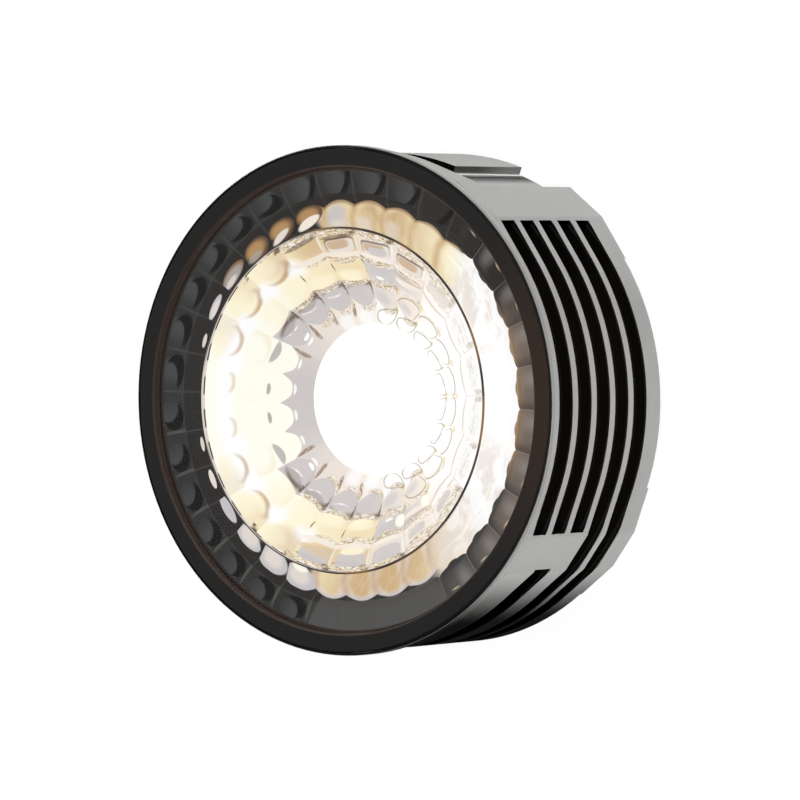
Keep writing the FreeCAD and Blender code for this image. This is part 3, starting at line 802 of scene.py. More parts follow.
@dataclass(frozen=True)
class BowlLight:
    """The lit cells of the bowl.

    The turn runs from 0 on the far side to half the cell count on the near one. Each row takes its ground
    tone from a ramp along it, a step per cell and a slope inside it, and strokes are laid over the ground.
    White light glows where four cells of the two upper rows meet.
    """

    cells: int = 22
    glow: float = 0.95

    def caustics(self, graph: Graph, across: Num, down: Num) -> bpy.types.NodeSocket:
        """Makes the painted caustics: a warped noise, with bands of light and dark tones at some of its
        values.

        Args:
            graph: the graph it is added to.
            across, down: the place in columns and rows.
        Returns:
            The colour socket.
        """
        veins = graph.noise(graph.joined(across * 0.6, down * 1.5, 7.0), 7.0, 4.0, 0.62, warp=0.7)
        return graph.ramp(veins, [
            (0.3, Tone.WHITE), (0.42, Tone.BLUSH), (0.47, Tone.TAN), (0.51, Tone.BROWN), (0.54, Tone.SAND),
            (0.6, Tone.WHITE), (0.66, Tone.UMBER), (0.7, Tone.SHELL),
        ])

    def place(self, graph: Graph) -> tuple[Cell, Num, Num]:
        """Works out where each point lies among the cells.

        A drift that changes with the row slants the cells' sides half way round. The edge above the last
        row hangs down by 0.06 less 2.8 times the cube of the distance from the cell's middle.

        Args:
            graph: the graph it is added to.
        Returns:
            The cell, the turn in cells and the place down the bowl in rows.
        """
        across, down = graph.cells()
        half = self.cells / 2
        turn = (across - half).abs()
        drift = down.rise(0.0, 2.5) * -0.12 + down.rise(2.9, 4.0) * 0.3
        turn = (turn + drift * (turn / half).near(0.55, 0.5)).max(0.0)
        w = turn.fract()
        down = down + ((w - 0.5).abs().power(3.0) * 2.8 - 0.06) * down.near(2.9, 0.7)
        grain = graph.noise(graph.joined(across * 2.2, down * 3.4, 0.0), 2.6, 5.0, 0.7)
        upper = graph.parts(graph.place())[1].rise(-0.00001, 0.00001)
        caustics = self.caustics(graph, across, down)
        return Cell(turn.floor(), w, down.floor(), down.fract(), upper, grain, caustics), turn, down

    def ground(self, graph: Graph, cell: Cell) -> bpy.types.NodeSocket:
        """Gives the ground tone of each cell, from the ramp of its row.

        Args:
            graph: the graph it is added to.
            cell: where the point lies among the cells.
        Returns:
            The colour socket.
        """
        along = (cell.column + 0.5 + (cell.w - 0.5) * 0.6) / (self.cells / 2)
        colour = graph.ramp(along, BOWL_GROUNDS[0])
        for number, stops in enumerate(BOWL_GROUNDS[1:], 1):
            colour = graph.mix(cell.row.rise(number - 0.6, number - 0.4), colour, graph.ramp(along, stops))
        return colour

    def build(self) -> bpy.types.Material:
        """Makes the material.

        Returns:
            The finished material.
        """
        graph = Graph.named("lens_bowl_lit")
        cell, turn, down = self.place(graph)
        corner = ((turn + 0.5).fract() - 0.5).power(2.0) * 5.0 + (down - 0.95).power(2.0) * 4.0
        outer = turn.rise(0.3, 0.9)
        halo = corner.rise(1.0, 0.0) * turn.rise(5.2, 3.6) * outer
        core = corner.rise(0.35, 0.0) * turn.rise(4.2, 3.6) * outer
        colour = graph.mix(halo, self.ground(graph, cell), Tone.WHITE)
        for stroke in BOWL_STROKES:
            colour = stroke.lay(graph, cell, colour)
        colour = graph.mix(core, colour, Tone.WHITE)
        near = (turn / (self.cells / 2)).rise(0.42, 0.6) * cell.row.rise(2.6, 1.4)
        edge = cell.w.rise(0.03, 0.0).max(cell.w.rise(0.97, 1.0)) * near
        colour = graph.mix(edge * (0.1 + cell.grain * 0.4), colour, Tone.OCHRE)
        graph.surface(
            base_color=graph.mix(cell.grain, grey(50), grey(66)),
            roughness=0.12 + cell.grain * 0.12,
            ior=1.3,
            emission_color=colour,
            emission_strength=self.glow,
            normal=graph.bump(cell.grain, 0.00004, 0.5),
        )
        return graph.owner


SIDE_STROKES = (
    # Dark band: a pale patch that rises towards a hooked shadow
    Stroke(0, Tone.PATCH, 0.75, (0, 3), (0.28, 0.38), (0.5, 0.5), soft=0.12, grade=0.5, half=Half.UPPER),
    Stroke(0, Tone.PATCH, 0.8, (4, 9), (0.34, 0.42), (0.5, 0.54), slope=-0.3, soft=0.12, grade=0.7,
           half=Half.UPPER),
    Stroke(0, Tone.BLACK, 1.0, (0, 5), (0.42, 0.54), (0.48, 0.42), slope=-0.2, bite=(-0.22, -0.24), soft=0.15,
           grade=0.2, half=Half.UPPER),
    Stroke(0, Tone.BLACK, 1.0, (6, 10), (0.76, 0.6), (0.2, 0.4), slope=1.6, bite=(-0.12, -0.08), soft=0.25,
           half=Half.UPPER),
    Stroke(0, Tone.PATCH, 0.75, (0, 7), (0.52, 0.42), (0.32, 0.4), slope=0.3, soft=0.14, grade=0.8,
           half=Half.LOWER),
    Stroke(0, Tone.BLACK, 1.0, (0, 6), (0.58, 0.54), (0.36, 0.44), bite=(-0.21, -0.2), soft=0.15, grade=0.2,
           half=Half.LOWER),
    Stroke(0, Tone.EDGE, 0.5, (0, 8), (0.99, 0.7), (0.06, 0.5), soft=0.6, half=Half.LOWER),
    # Small ovals on the far side, growing into domes
    Stroke(2, Tone.SHELL, 0.9, (1, 1), (0.41, 0.28), (0.2, 0.07), soft=0.2),
    Stroke(2, Tone.PEARL, 1.0, (2, 2), (0.38, 0.25), (0.4, 0.13), soft=0.15, half=Half.UPPER),
    Stroke(2, Tone.SHELL, 0.9, (2, 2), (0.34, 0.27), (0.28, 0.09), soft=0.6, half=Half.UPPER),
    Stroke(2, Tone.UMBER, 1.0, (3, 3), (0.46, 0.24), (0.48, 0.22), soft=0.2, half=Half.UPPER),
    Stroke(2, Tone.SLATE, 0.95, (3, 3), (0.4, 0.29), (0.44, 0.19), soft=0.5, half=Half.UPPER),
    Stroke(2, Tone.SHELL, 0.8, (3, 3), (0.25, 0.36), (0.28, 0.1), soft=0.7, half=Half.UPPER),
    Stroke(2, Tone.BROWN, 1.0, (4, 6), (0.5, 0.36), (0.46, 0.38), soft=0.14, half=Half.UPPER),
    Stroke(2, Tone.OCHRE, 0.85, (4, 6), (0.46, 0.34), (0.36, 0.26), soft=0.7, half=Half.UPPER),
    Stroke(2, Tone.SLATE, 0.8, (4, 4), (0.34, 0.5), (0.3, 0.12), soft=0.5, half=Half.UPPER),
    Stroke(2, Tone.SHELL, 1.0, (5, 5), (0.4, 0.56), (0.34, 0.14), slope=0.3, soft=0.4, half=Half.UPPER),
    Stroke(2, Tone.BLUSH, 1.0, (6, 6), (0.46, 0.6), (0.4, 0.2), slope=0.3, soft=0.25, half=Half.UPPER),
    Stroke(2, Tone.PEARL, 0.7, (7, 7), (0.45, 0.55), (0.3, 0.3), soft=0.8, half=Half.UPPER),
    Stroke(2, Tone.SHELL, 1.0, (2, 2), (0.41, 0.28), (0.28, 0.1), soft=0.15, half=Half.LOWER),
    Stroke(2, Tone.PEARL, 1.0, (3, 3), (0.36, 0.32), (0.46, 0.17), soft=0.15, half=Half.LOWER),
    Stroke(2, Tone.PEARL, 1.0, (4, 4), (0.4, 0.34), (0.52, 0.26), soft=0.12, half=Half.LOWER),
    Stroke(2, Tone.PEARL, 1.0, (5, 6), (0.42, 0.4), (0.56, 0.42), soft=0.12, half=Half.LOWER),
    Stroke(2, Tone.SHELL, 0.9, (4, 6), (0.42, 0.45), (0.36, 0.3), soft=0.7, half=Half.LOWER),
    Stroke(2, Tone.CREAM, 0.9, (6, 6), (0.4, 0.72), (0.3, 0.14), soft=0.4, half=Half.LOWER),
)


@dataclass(frozen=True)
class SideLight:
    """The side cells of the optic, as they show through its clear front.

    Rows are 0 and 1 for the dark band, 2 for the scalloped lights and from 3 on for the wall below. Tones
    come from ramps round the whole circle, with strokes laid over them. On the near side the dark cells
    end in round feet, with bright cusps between them.
    """

    columns: int = 32
    far_column: int = 15
    start: float = 7.1
    glow: float = 0.95

    def lights(self, graph: Graph, angle: Num) -> bpy.types.NodeSocket:
        """Gives the tone of the scalloped lights round the circle.

        Args:
            graph: the graph it is added to.
            angle: how far round the circle, 0 to 1.
        Returns:
            The colour socket.
        """
        return graph.ramp(angle, [
            (0.0, Tone.WHITE), (0.11, Tone.WHITE), (0.14, Tone.STRAW), (0.175, Tone.WHEAT), (0.2, Tone.HONEY),
            (0.225, Tone.HONEY), (0.245, Tone.WHEAT), (0.27, Tone.LILAC), (0.29, Tone.UNLIT),
            (0.69, Tone.UNLIT), (0.7, Tone.SAND), (0.745, Tone.HONEY), (0.8, Tone.HONEY), (0.83, Tone.WHEAT),
            (0.86, Tone.BLUSH), (0.9, Tone.WHITE),
        ])

    def shades(self, graph: Graph, angle: Num) -> bpy.types.NodeSocket:
        """Gives the tone of the dark band round the circle.

        Args:
            graph: the graph it is added to.
            angle: how far round the circle, 0 to 1.
        Returns:
            The colour socket.
        """
        # Near 0.86, towards the low side, the band takes the tone of the painted reflection
        return graph.ramp(angle, [
            (0.0, Tone.HAZE), (0.04, Tone.HAZE), (0.08, Tone.INK), (0.14, Tone.INK), (0.2, Tone.UNLIT),
            (0.5, Tone.SMOKE), (0.68, Tone.UNLIT), (0.86, Tone.REFLECTION), (0.91, Tone.HAZE), (1.0, Tone.HAZE),
        ])

    def band(self, graph: Graph, angle: Num, f: Num, down: Num, near: Num) -> bpy.types.NodeSocket:
        """Works out the dark band: its ground, the lines between cells, and warmth on the near side.

        Args:
            graph: the graph it is added to.
            angle: how far round the circle, 0 to 1.
            f: the place across the cell, 0 to 1.
            down: the place down the side, in rows.
            near: 1 where the cells have round feet.
        Returns:
            The colour socket.
        """
        far = 1.0 - near
        aside = (angle - 0.5).abs()
        line = (down.near(0.98, 0.05) * 0.6).max(f.rise(0.04, 0.0)).max(f.rise(0.96, 1.0))
        warm_tone = graph.mix(aside.rise(0.42, 0.46), Tone.INK, rgb(150, 120, 86))
        dash = f.near(0.35, 0.16) * (down + f * 0.2).near(0.3, 0.05) * aside.rise(0.49, 0.4)
        shade = self.shades(graph, angle)
        for share, tone in (
            (down.rise(0.96, 1.06) * far * 0.8, Tone.INK),
            (line * far * down.rise(0.08, 0.2) * 0.32, Tone.EDGE),
            (near * down.rise(0.3, 1.9), warm_tone),
            (near * f.rise(0.32, 0.02) * 0.55, Tone.INK),
            (near * f.near(0.7, 0.3) * down.rise(1.2, 0.3) * 0.35, Tone.SLATE),
            (near * f.rise(0.975, 1.0) * 0.5, Tone.SLATE),
            (near * dash * 0.8, Tone.WHEAT),
        ):
            shade = graph.mix(share, shade, tone)
        return shade

    def domes(self, graph: Graph, angle: Num, across: Num, down: Num, w: Num,
              near: Num) -> tuple[Num, bpy.types.NodeSocket]:
        """Works out the scalloped lights of the far half, and the wall below them.

        A light's top edge is the parabola 2.02 + 0.9 (w - 0.5) squared, in rows.

        Args:
            graph: the graph it is added to.
            angle: how far round the circle, 0 to 1.
            across: the place round the circle, in columns.
            down: the place down the side, in rows.
            w: the place across the cell, 0 to 1.
            near: 1 where the cells have round feet.
        Returns:
            Where the lights are, as a share, and their colour.
        """
        far = 1.0 - near
        top = 2.02 + (w - 0.5).power(2.0) * 0.9
        behind = angle.between(0.285, 0.675, 0.004)
        lit = down.rise(1.99, 2.01) * (1.0 - behind) * (down - top).rise(-0.04, 0.02)
        body = ((w - 0.5).power(2.0) * 3.4 + (down - 2.75).power(2.0) * 1.2).rise(0.75, 0.25)
        streaks = graph.noise(graph.joined(across * 3.0, down * 0.7, 3.0), 2.4, 2.0, 0.5)
        smudge = graph.noise(graph.joined(across * 0.9, down * 0.9, 5.0), 1.9, 2.0, 0.5)
        sideways = angle.rise(0.03, 0.07) * angle.rise(0.97, 0.93)
        foot = down.rise(2.55, 3.0) * (w - 0.4).abs().rise(0.4, 0.1) * angle.between(0.19, 0.29, 0.02)
        white = smudge.rise(0.5, 0.4) * down.rise(2.0, 2.5) * (1.0 - sideways * 0.5)
        rim_tone = graph.mix(angle.rise(0.6, 0.7), Tone.SAND, Tone.SHELL)
        outline_tone = graph.mix(angle.rise(0.45, 0.55), Tone.UMBER, Tone.PEARL)
        light = self.lights(graph, angle)
        for share, tone in (
            (far * (1.0 - body) * 0.8, rim_tone),
            (far * (w - 0.5).abs().rise(0.28, 0.5) * 0.6, Tone.OCHRE),
            (foot * 0.6, Tone.SHELL),
            (far * streaks.rise(0.45, 0.65) * down.rise(2.1, 2.5) * 0.2, Tone.SAND),
            (near * white, Tone.WHITE),
            (near * smudge.rise(0.44, 0.6) * sideways * 0.75, Tone.SHELL),
            (far * (down - top).rise(0.16, 0.02) * 0.75, outline_tone),
        ):
            light = graph.mix(share, light, tone)
        return lit, light

    def build(self) -> bpy.types.Material:
        """Makes the material.

        A dark foot of the near side reaches 1.22 + 0.86 (1 - (2 f - 1) squared) to the power 0.55 rows down.

        Returns:
            The finished material.
        """
        graph = Graph.named("lens_side_lit")
        across, down = graph.cells()
        x, y, _, _ = graph.millimetres()
        f = across.fract()
        angle = (across / self.columns + self.start / 360.0).fract()
        near = angle.rise(0.135, 0.12).max(angle.rise(0.82, 0.84))
        grain = graph.noise(graph.joined(across * 1.5, down * 2.0, 0.0), 3.0, 4.0, 0.6)
        turn = across - self.far_column
        upper = turn.rise(0.00001, -0.00001)
        turn = turn.abs()
        turn = turn + down.rise(1.9, 3.2) * (turn / 16.0).near(0.5, 0.5) * 0.4
        cell = Cell(turn.floor(), turn.fract(), down.floor(), down.fract(), upper, grain)

        lit, light = self.domes(graph, angle, across, down, cell.w, near)
        foot = 1.22 + (1.0 - (f - 0.5).power(2.0) * 4.0).power(0.55) * 0.86
        cusp = (down - foot).rise(-0.03, 0.03)
        lit = lit * (1.0 - near) + cusp * near
        colour = graph.mix(lit, self.band(graph, angle, f, down, near), light)
        for stroke in SIDE_STROKES:
            colour = stroke.lay(graph, cell, colour)
        # Painted reflection: a straight-edged sheet of light mirrored in the front at the low side
        film = (x * 0.89 - y * 0.45).rise(4.6, 4.9) * y.rise(0.0, -6.0) * (1.0 - near)
        colour = graph.mix(film * down.rise(2.05, 1.95) * 0.75, colour, Tone.REFLECTION)
        # Painted warm glow of the lit optic on the ring's inner wall outside the cells, with a thin painted
        # highlight line at its foot
        ring_wall_glow = graph.mix(grain, rgb(44, 37, 34), rgb(54, 44, 38))
        colour = graph.mix(down.rise(0.14, 0.1), colour, ring_wall_glow)
        colour = graph.mix(down.near(0.13, 0.025) * 0.2, colour, Tone.EDGE)
        graph.surface(
            base_color=graph.mix(grain, grey(14), grey(22)),
            roughness=0.25 + grain * 0.1,
            specular_ior_level=0.1,
            emission_color=colour,
            emission_strength=self.glow,
            normal=graph.bump(grain, 0.00003, 0.5),
        )
        return graph.owner


@dataclass(frozen=True)
class SourceLight:
    """The lit source seen through the floor of the bowl: white, with a soft warm edge."""

    radius: float = 7.5
    glow: float = 1.25

    def build(self) -> bpy.types.Material:
        """Makes the material.

        Returns:
            The finished material.
        """
        graph = Graph.named("lens_floor_lit")
        grain = graph.noise(graph.place(), 700.0, 3.0)
        edge = graph.millimetres()[3].rise(self.radius - 0.9, self.radius)
        colour = graph.mix(edge * (0.5 + grain), Tone.WHITE, rgb(255, 250, 235))
        graph.surface(
            base_color=graph.mix(grain, grey(60), grey(80)),
            roughness=0.2 + grain * 0.1,
            ior=1.35,
            emission_color=colour,
            emission_strength=self.glow,
        )
        return graph.owner


@dataclass(frozen=True)
class ClearFront:
    """The clear flat front of the optic: lets light through and mirrors a little at its surface."""

    bend: float = 1.12

    def build(self) -> bpy.types.Material:
        """Makes the material.

        Returns:
            The finished material.
        """
        graph = Graph.named("lens_front_clear")
        smear = graph.noise(graph.place(), 160.0, 3.0)
        clear = graph.add("ShaderNodeBsdfTransparent")
        gloss = graph.add("ShaderNodeBsdfGlossy")
        graph.set(gloss, "Roughness", 0.04 + smear * 0.05)
        fresnel = graph.add("ShaderNodeFresnel")
        fresnel.inputs["IOR"].default_value = self.bend
        mixed = graph.add("ShaderNodeMixShader")
        graph.set(mixed, 0, fresnel.outputs[0])
        graph.tree.links.new(clear.outputs[0], mixed.inputs[1])
        graph.tree.links.new(gloss.outputs[0], mixed.inputs[2])
        graph.end(mixed)
        return graph.owner


@dataclass(frozen=True)
class RimLine:
    """The edge of the bowl in painted light: a pale highlight with dark dashes on the far side, black and
    gold on the near one.

    Around the tube, the place runs from 0 outwards over 3 at the top to 6 inwards.
    """

    dashes: int = 32
    glow: float = 0.85

    def build(self) -> bpy.types.Material:
        """Makes the material.

        Returns:
            The finished material.
        """
        graph = Graph.named("lens_rim_line")
        across, around = graph.cells()
        turn = (across / self.dashes - 0.5).abs() * 2.0
        grain = graph.noise(graph.joined(across, 0.0, 0.0), 3.1, 3.0)
        dash = (across + grain * 0.3).fract().between(0.25, 0.8, 0.05)
        far = graph.mix(dash * around.rise(4.2, 4.6), Tone.SHELL, Tone.DARK)
        far = graph.mix(around.rise(3.7, 3.3) * turn.rise(0.04, 0.14), far, Tone.DARK)
        broad = graph.noise(graph.joined(across * 0.4, 0.0, 2.0), 1.0, 1.0)
        near = graph.mix(broad.rise(0.46, 0.6), rgb(40, 32, 26), rgb(150, 108, 58))
        graph.surface(
            base_color=grey(30),
            roughness=0.15 + grain * 0.1,
            ior=1.35,
            emission_color=graph.mix(turn.rise(0.3, 0.6), far, near),
            emission_strength=self.glow,
        )
        return graph.owner


# Surfaces


def revolved(name: str, points: np.ndarray, uv: np.ndarray, round_off: bool = True,
             ring: bool = True) -> bpy.types.Object:
    """Makes a closed mesh from a grid of points that runs round the axis.

    The quad at row i and column j joins the points (i, j), (i + 1, j), (i + 1, j + 1) and (i, j + 1).
    Columns always close on themselves, and so do rows where the section is a ring. The sum of the signed
    volumes of the wedges from the origin to each quad tells which way the faces look, and they are
    turned over where it is negative.

    Args:
        name: the name of the object.
        points: rows by columns by 3, in millimetres.
        uv: cell coordinates, one row and one column more than the points.
        round_off: whether the faces are shaded smooth.
        ring: whether the last row joins the first, or else the ends meet on the axis.
    Returns:
        The object, linked to the scene.
    """
    rows, columns = points.shape[:2]
    i, j = np.meshgrid(np.arange(rows if ring else rows - 1), np.arange(columns), indexing="ij")
    row_at = np.stack([i, i + 1, i + 1, i])
    column_at = np.stack([j, j, j + 1, j + 1])
    faces = ((row_at % rows) * columns + column_at % columns).reshape(4, -1).T
    corner_uv = uv[row_at, column_at].reshape(4, -1, 2).transpose(1, 0, 2)
    places = points.reshape(-1, 3) * MM
    a, b, c, d = (places[faces[:, k]] for k in range(4))
    volume = np.einsum("ij,ij->", a, np.cross(b, c)) + np.einsum("ij,ij->", a, np.cross(c, d))
    if volume < 0:
        faces = faces[:, ::-1]
        corner_uv = corner_uv[:, ::-1]
    mesh = bpy.data.meshes.new(name)
    mesh.from_pydata(places.tolist(), [], faces.tolist())
    layer = mesh.uv_layers.new(name="cells")
    layer.data.foreach_set("uv", np.ascontiguousarray(corner_uv).reshape(-1))
    mesh.polygons.foreach_set("use_smooth", np.full(len(faces), round_off))
    if not ring:
        shape = bmesh.new()
        shape.from_mesh(mesh)
        bmesh.ops.remove_doubles(shape, verts=shape.verts, dist=1e-7)
        shape.to_mesh(mesh)
        shape.free()
    mesh.update()
    piece = bpy.data.objects.new(name, mesh)
    bpy.context.scene.collection.objects.link(piece)
    return piece


def turned_grid(radius: np.ndarray, height: np.ndarray, angle: np.ndarray) -> np.ndarray:
    """Sets radii and heights round the axis: a point is radius cos angle, radius sin angle, height.

    Args:
        radius, height: rows by columns, in millimetres.
        angle: columns, in radians.
    Returns:
        Rows by columns by 3.
    """
    return np.stack([radius * np.cos(angle), radius * np.sin(angle), height + 0.0 * angle], axis=-1)


def arch(position: np.ndarray) -> np.ndarray:
    """Is 0 at each whole number and 1 half way between: 1 - (2 fract(p) - 1) squared."""
    return 1.0 - (2.0 * (position - np.floor(position)) - 1.0) ** 2


def cell_uv(columns: np.ndarray, rows: np.ndarray) -> np.ndarray:
    """Pairs up cell coordinates, rows by columns by 2."""
    across, down = np.meshgrid(columns, rows)
    return np.stack([across, down], axis=-1)


@dataclass(frozen=True)
class Relief:
    """A surface round the axis with domed cells.

    The outline runs through knots (radius, height), one a row. A point at cell coordinates (u, v) lies on
    the outline at v plus a lean times the arch of u, so that the rows sag in the middle of each cell. It
    is then raised along the outline's normal by a dome height times the arch of u and the arch of v.
    """

    knots: tuple[tuple[float, float], ...]
    domes: tuple[float, ...]
    columns: int
    turn: float
    lean: float
    column_steps: int
    row_steps: int
    thickness: float

    def outline(self, position: np.ndarray) -> tuple[np.ndarray, np.ndarray]:
        """Gives radius and height at positions along the outline.

        Args:
            position: places along the outline, counted in knots.
        Returns:
            The radius and the height, in millimetres.
        """
        knots = np.array(self.knots)
        steps = np.arange(len(knots))
        return np.interp(position, steps, knots[:, 0]), np.interp(position, steps, knots[:, 1])

    def grid(self) -> tuple[np.ndarray, np.ndarray]:
        """Works out the points and cell coordinates of the top, and a plain underside a thickness below.

        Returns:
            The points, rows by columns by 3, and the cell coordinates, rows by columns by 2.
        """
        last = len(self.knots) - 1
        u = np.linspace(0.0, self.columns, self.columns * self.column_steps + 1)
        v = np.linspace(0.0, last, last * self.row_steps + 1)
        angle = np.radians(self.turn + 360.0 * u[:-1] / self.columns)
        inner = np.clip(np.minimum(v, last - v), 0.0, 1.0)[:, None]
        position = v[:, None] + self.lean * inner * arch(u[:-1])[None, :]
        radius, height = self.outline(position)
        step = 0.01
        ahead, drop = self.outline(position + step)
        behind, lift = self.outline(position - step)
        run, fall = ahead - behind, drop - lift
        size = np.hypot(run, fall)
        height_of = np.interp(np.minimum(v, last - 1e-6).astype(int), np.arange(last), self.domes)[:, None]
        dome = height_of * arch(u[:-1])[None, :] * arch(v)[:, None]
        radius = radius + dome * fall / size
        height = height - dome * run / size
        under = np.linspace(last, 0.0, last + 1)
        low_r, low_z = self.outline(under)
        low = turned_grid(low_r[:, None] + 0.0 * angle, low_z[:, None] - self.thickness + 0.0 * angle, angle)
        points = np.concatenate([turned_grid(radius, height, angle), low])
        return points, cell_uv(u, np.concatenate([v, under, [0.0]]))


# Sub-assemblies


@dataclass
class Assembly:
    """A group of nodes and pieces that is dressed together."""

    nodes: dict[str, bpy.types.Object]
    made: list[str] = field(default_factory=list)

    def dress(self, node: str, material: bpy.types.Material) -> None:
        """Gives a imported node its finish.

        Args:
            node: the name of the node.
            material: the finish, put into each of its material slots.
        """
        slots = self.nodes[node].material_slots
        for slot in slots:
            slot.material = material
        if not slots:
            self.nodes[node].data.materials.append(material)
        self.made.append(node)

    def dress_all(self, finishes: dict[str, Finish]) -> None:
        """Gives each named node its finish."""
        for node, finish in finishes.items():
            self.dress(node, finish.build())

    def mount(self, piece: bpy.types.Object, material: bpy.types.Material, slot: str) -> None:
        """Gives a new piece its finish and its body.

        Args:
            piece: the new object.
            material: its finish.
            slot: not used.
        """
        piece.data.materials.append(material)
        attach(piece, "root")
        self.made.append(piece.name)

    def report(self) -> None:
        """Logs each piece that was made or dressed."""
        for name in self.made:
            LOG.info("%s: %s", type(self).__name__, name)


@dataclass
class Drum(Assembly):
    """The grooved housing with its front ring."""

    def build(self) -> None:
        """Dresses the housing and the front ring."""
        self.dress("housing", DrumPaint().build())
        self.dress("front_bezel", RingPaint().build())


@dataclass
class Optic(Assembly):
    """The clear optic as it looks when lit: bowl, side cells, clear front, floor and rim line."""

    front_z: float = 19.7
    front_r: float = 22.85
    front_wall: float = 0.15
    front_steps: int = 256
    rim_r: float = 16.9
    rim_gap: float = 0.16
    rim_size: tuple[float, float] = (0.12, 0.19)
    rim_steps: tuple[int, int] = (320, 12)
    floor_r: float = 7.5
    floor_z: float = 13.9
    floor_rise: float = 0.25
    floor_steps: tuple[int, int] = (128, 12)
    wall: float = 0.4
    cells: int = 22
    side_columns: int = 32
    side_turn: float = 7.1

    def bowl(self) -> bpy.types.Object:
        """Makes the bowl: four rows of domed cells from the rim down to the floor.

        Returns:
            The object.
        """
        shape = Relief(
            knots=((self.rim_r, self.front_z), (14.36, 18.5), (12.05, 16.95), (9.69, 15.37),
                   (self.floor_r, self.floor_z)),
            domes=(0.3, 0.26, 0.24, 0.18),
            columns=self.cells, turn=0.0, lean=0.14, column_steps=14, row_steps=12,
            thickness=self.wall,
        )
        return revolved("lens_bowl", *shape.grid())

    def side(self) -> bpy.types.Object:
        """Makes the side cells as they show through the front.

        Returns:
            The object.
        """
        shape = Relief(
            knots=((self.front_r, 18.85), (20.36, 18.35), (19.73, 18.03), (17.5, 16.6), (12.6, 13.3),
                   (self.floor_r + 0.2, 12.7)),
            domes=(0.22, 0.08, 0.3, 0.2, 0.0),
            columns=self.side_columns, turn=self.side_turn, lean=0.0, column_steps=12, row_steps=10,
            thickness=self.wall + 0.05,
        )
        return revolved("lens_side", *shape.grid())

    def section(self, name: str, corners: list[tuple[float, float]], columns: int, smooth: bool,
                ring: bool = True) -> bpy.types.Object:
        """Turns a closed section of (radius, height) corners round the axis.

        Args:
            name: the name of the object.
            corners: the section's corners, in millimetres.
            columns: how many steps it takes round the axis.
            smooth: whether the faces are shaded smooth.
            ring: whether the section closes on itself, or else ends on the axis.
        Returns:
            The object.
        """
        outline = np.array(corners)
        u = np.linspace(0.0, self.side_columns, columns + 1)
        angle = np.radians(360.0 * u[:-1] / self.side_columns)
        points = turned_grid(outline[:, :1] + 0.0 * angle, outline[:, 1:] + 0.0 * angle, angle)
        rows = np.arange(len(corners) + 1, dtype=float)
        return revolved(name, points, cell_uv(u, rows), smooth, ring)

    def front(self) -> bpy.types.Object:
        """Makes the clear flat front between the ring and the bowl.

        Returns:
            The object.
        """
        low, inner = self.front_z - self.front_wall, self.rim_r + self.rim_gap
        corners = [(inner, low), (self.front_r, low), (self.front_r, self.front_z), (inner, self.front_z)]
        return self.section("lens_front", corners, self.front_steps, False)

    def floor(self) -> bpy.types.Object:
        """Makes the glowing floor, a shallow dome: its height falls with the square of the radius.

        Returns:
            The object.
        """
        radius = np.linspace(0.0, self.floor_r, self.floor_steps[1])
        height = self.floor_z + self.floor_rise * (1.0 - (radius / self.floor_r) ** 2)
        top, low = list(zip(radius.tolist(), height.tolist())), self.floor_z - self.wall
        corners = top + [(self.floor_r, low), (0.0, low)]
        return self.section("lens_floor", corners, self.floor_steps[0], True, ring=False)

    def rim(self) -> bpy.types.Object:
        """Makes the rounded rim of the bowl.

        It is a circle carried round the axis. Its radius grows from the near side to the far one, with the
        cube of half of one minus the cosine of the angle.

        Returns:
            The object.
        """
        columns, steps = self.rim_steps
        around = np.linspace(0.0, 2.0 * math.pi, steps + 1)[:-1, None]
        u = np.linspace(0.0, self.side_columns, columns + 1)
        angle = 2.0 * math.pi * u[:-1] / self.side_columns
        near, far = self.rim_size
        size = near + (far - near) * (0.5 - 0.5 * np.cos(angle)) ** 3
        radius = self.rim_r + size * np.cos(around)
        height = self.front_z + size * np.sin(around)
        return revolved("lens_rim", turned_grid(radius, height, angle), cell_uv(u, np.arange(steps + 1.0)))

    def build(self) -> None:
        """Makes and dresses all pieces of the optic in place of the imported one."""
        made = (
            (self.bowl(), BowlLight(self.cells).build()),
            (self.side(), SideLight(self.side_columns, start=self.side_turn).build()),
            (self.front(), ClearFront().build()),
            (self.floor(), SourceLight(self.floor_r).build()),
            (self.rim(), RimLine(self.side_columns).build()),
        )
        for piece, material in made:
            self.mount(piece, material, "lens_clear")
            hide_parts("lens")


@dataclass
class Source(Assembly):
    """The light source on the deck, with its holder, strips and pins."""

    def build(self) -> None:
        """Dresses each node of the source."""
        white = Finish("holder_white", grey(214), rgb(236, 234, 228), 0.42, scale=1200.0)
        steel = Finish("screw_steel", grey(168), grey(212), 0.3, Pattern.BRUSHED, 2600.0, 0.00001, 1.0)
        brass = Finish("contact_brass", rgb(196, 158, 92), rgb(226, 194, 128), 0.3, Pattern.BRUSHED, 2200.0,
                       0.000008, 1.0)
        self.dress_all({
            "thermal_pad": Finish("thermal_pad", rgb(176, 182, 190), rgb(204, 208, 214), 0.75,
                                  Pattern.SPECKLE, 2400.0),
            "led_substrate": Finish("substrate_white", grey(216), grey(240), 0.35, scale=1500.0,
                                    relief=0.00001),
            "led_phosphor": Finish("phosphor_lit", rgb(255, 226, 150), rgb(255, 246, 214), 0.6,
                                   Pattern.SPECKLE, 3000.0, glow=1.0),
            "led_dam": Finish("dam_silicone", grey(226), grey(244), 0.5, scale=1800.0),
            "led_holder": white,
            "led_holder_screws": steel,
            "led_contacts": brass,
            "led_pins": brass,
        })


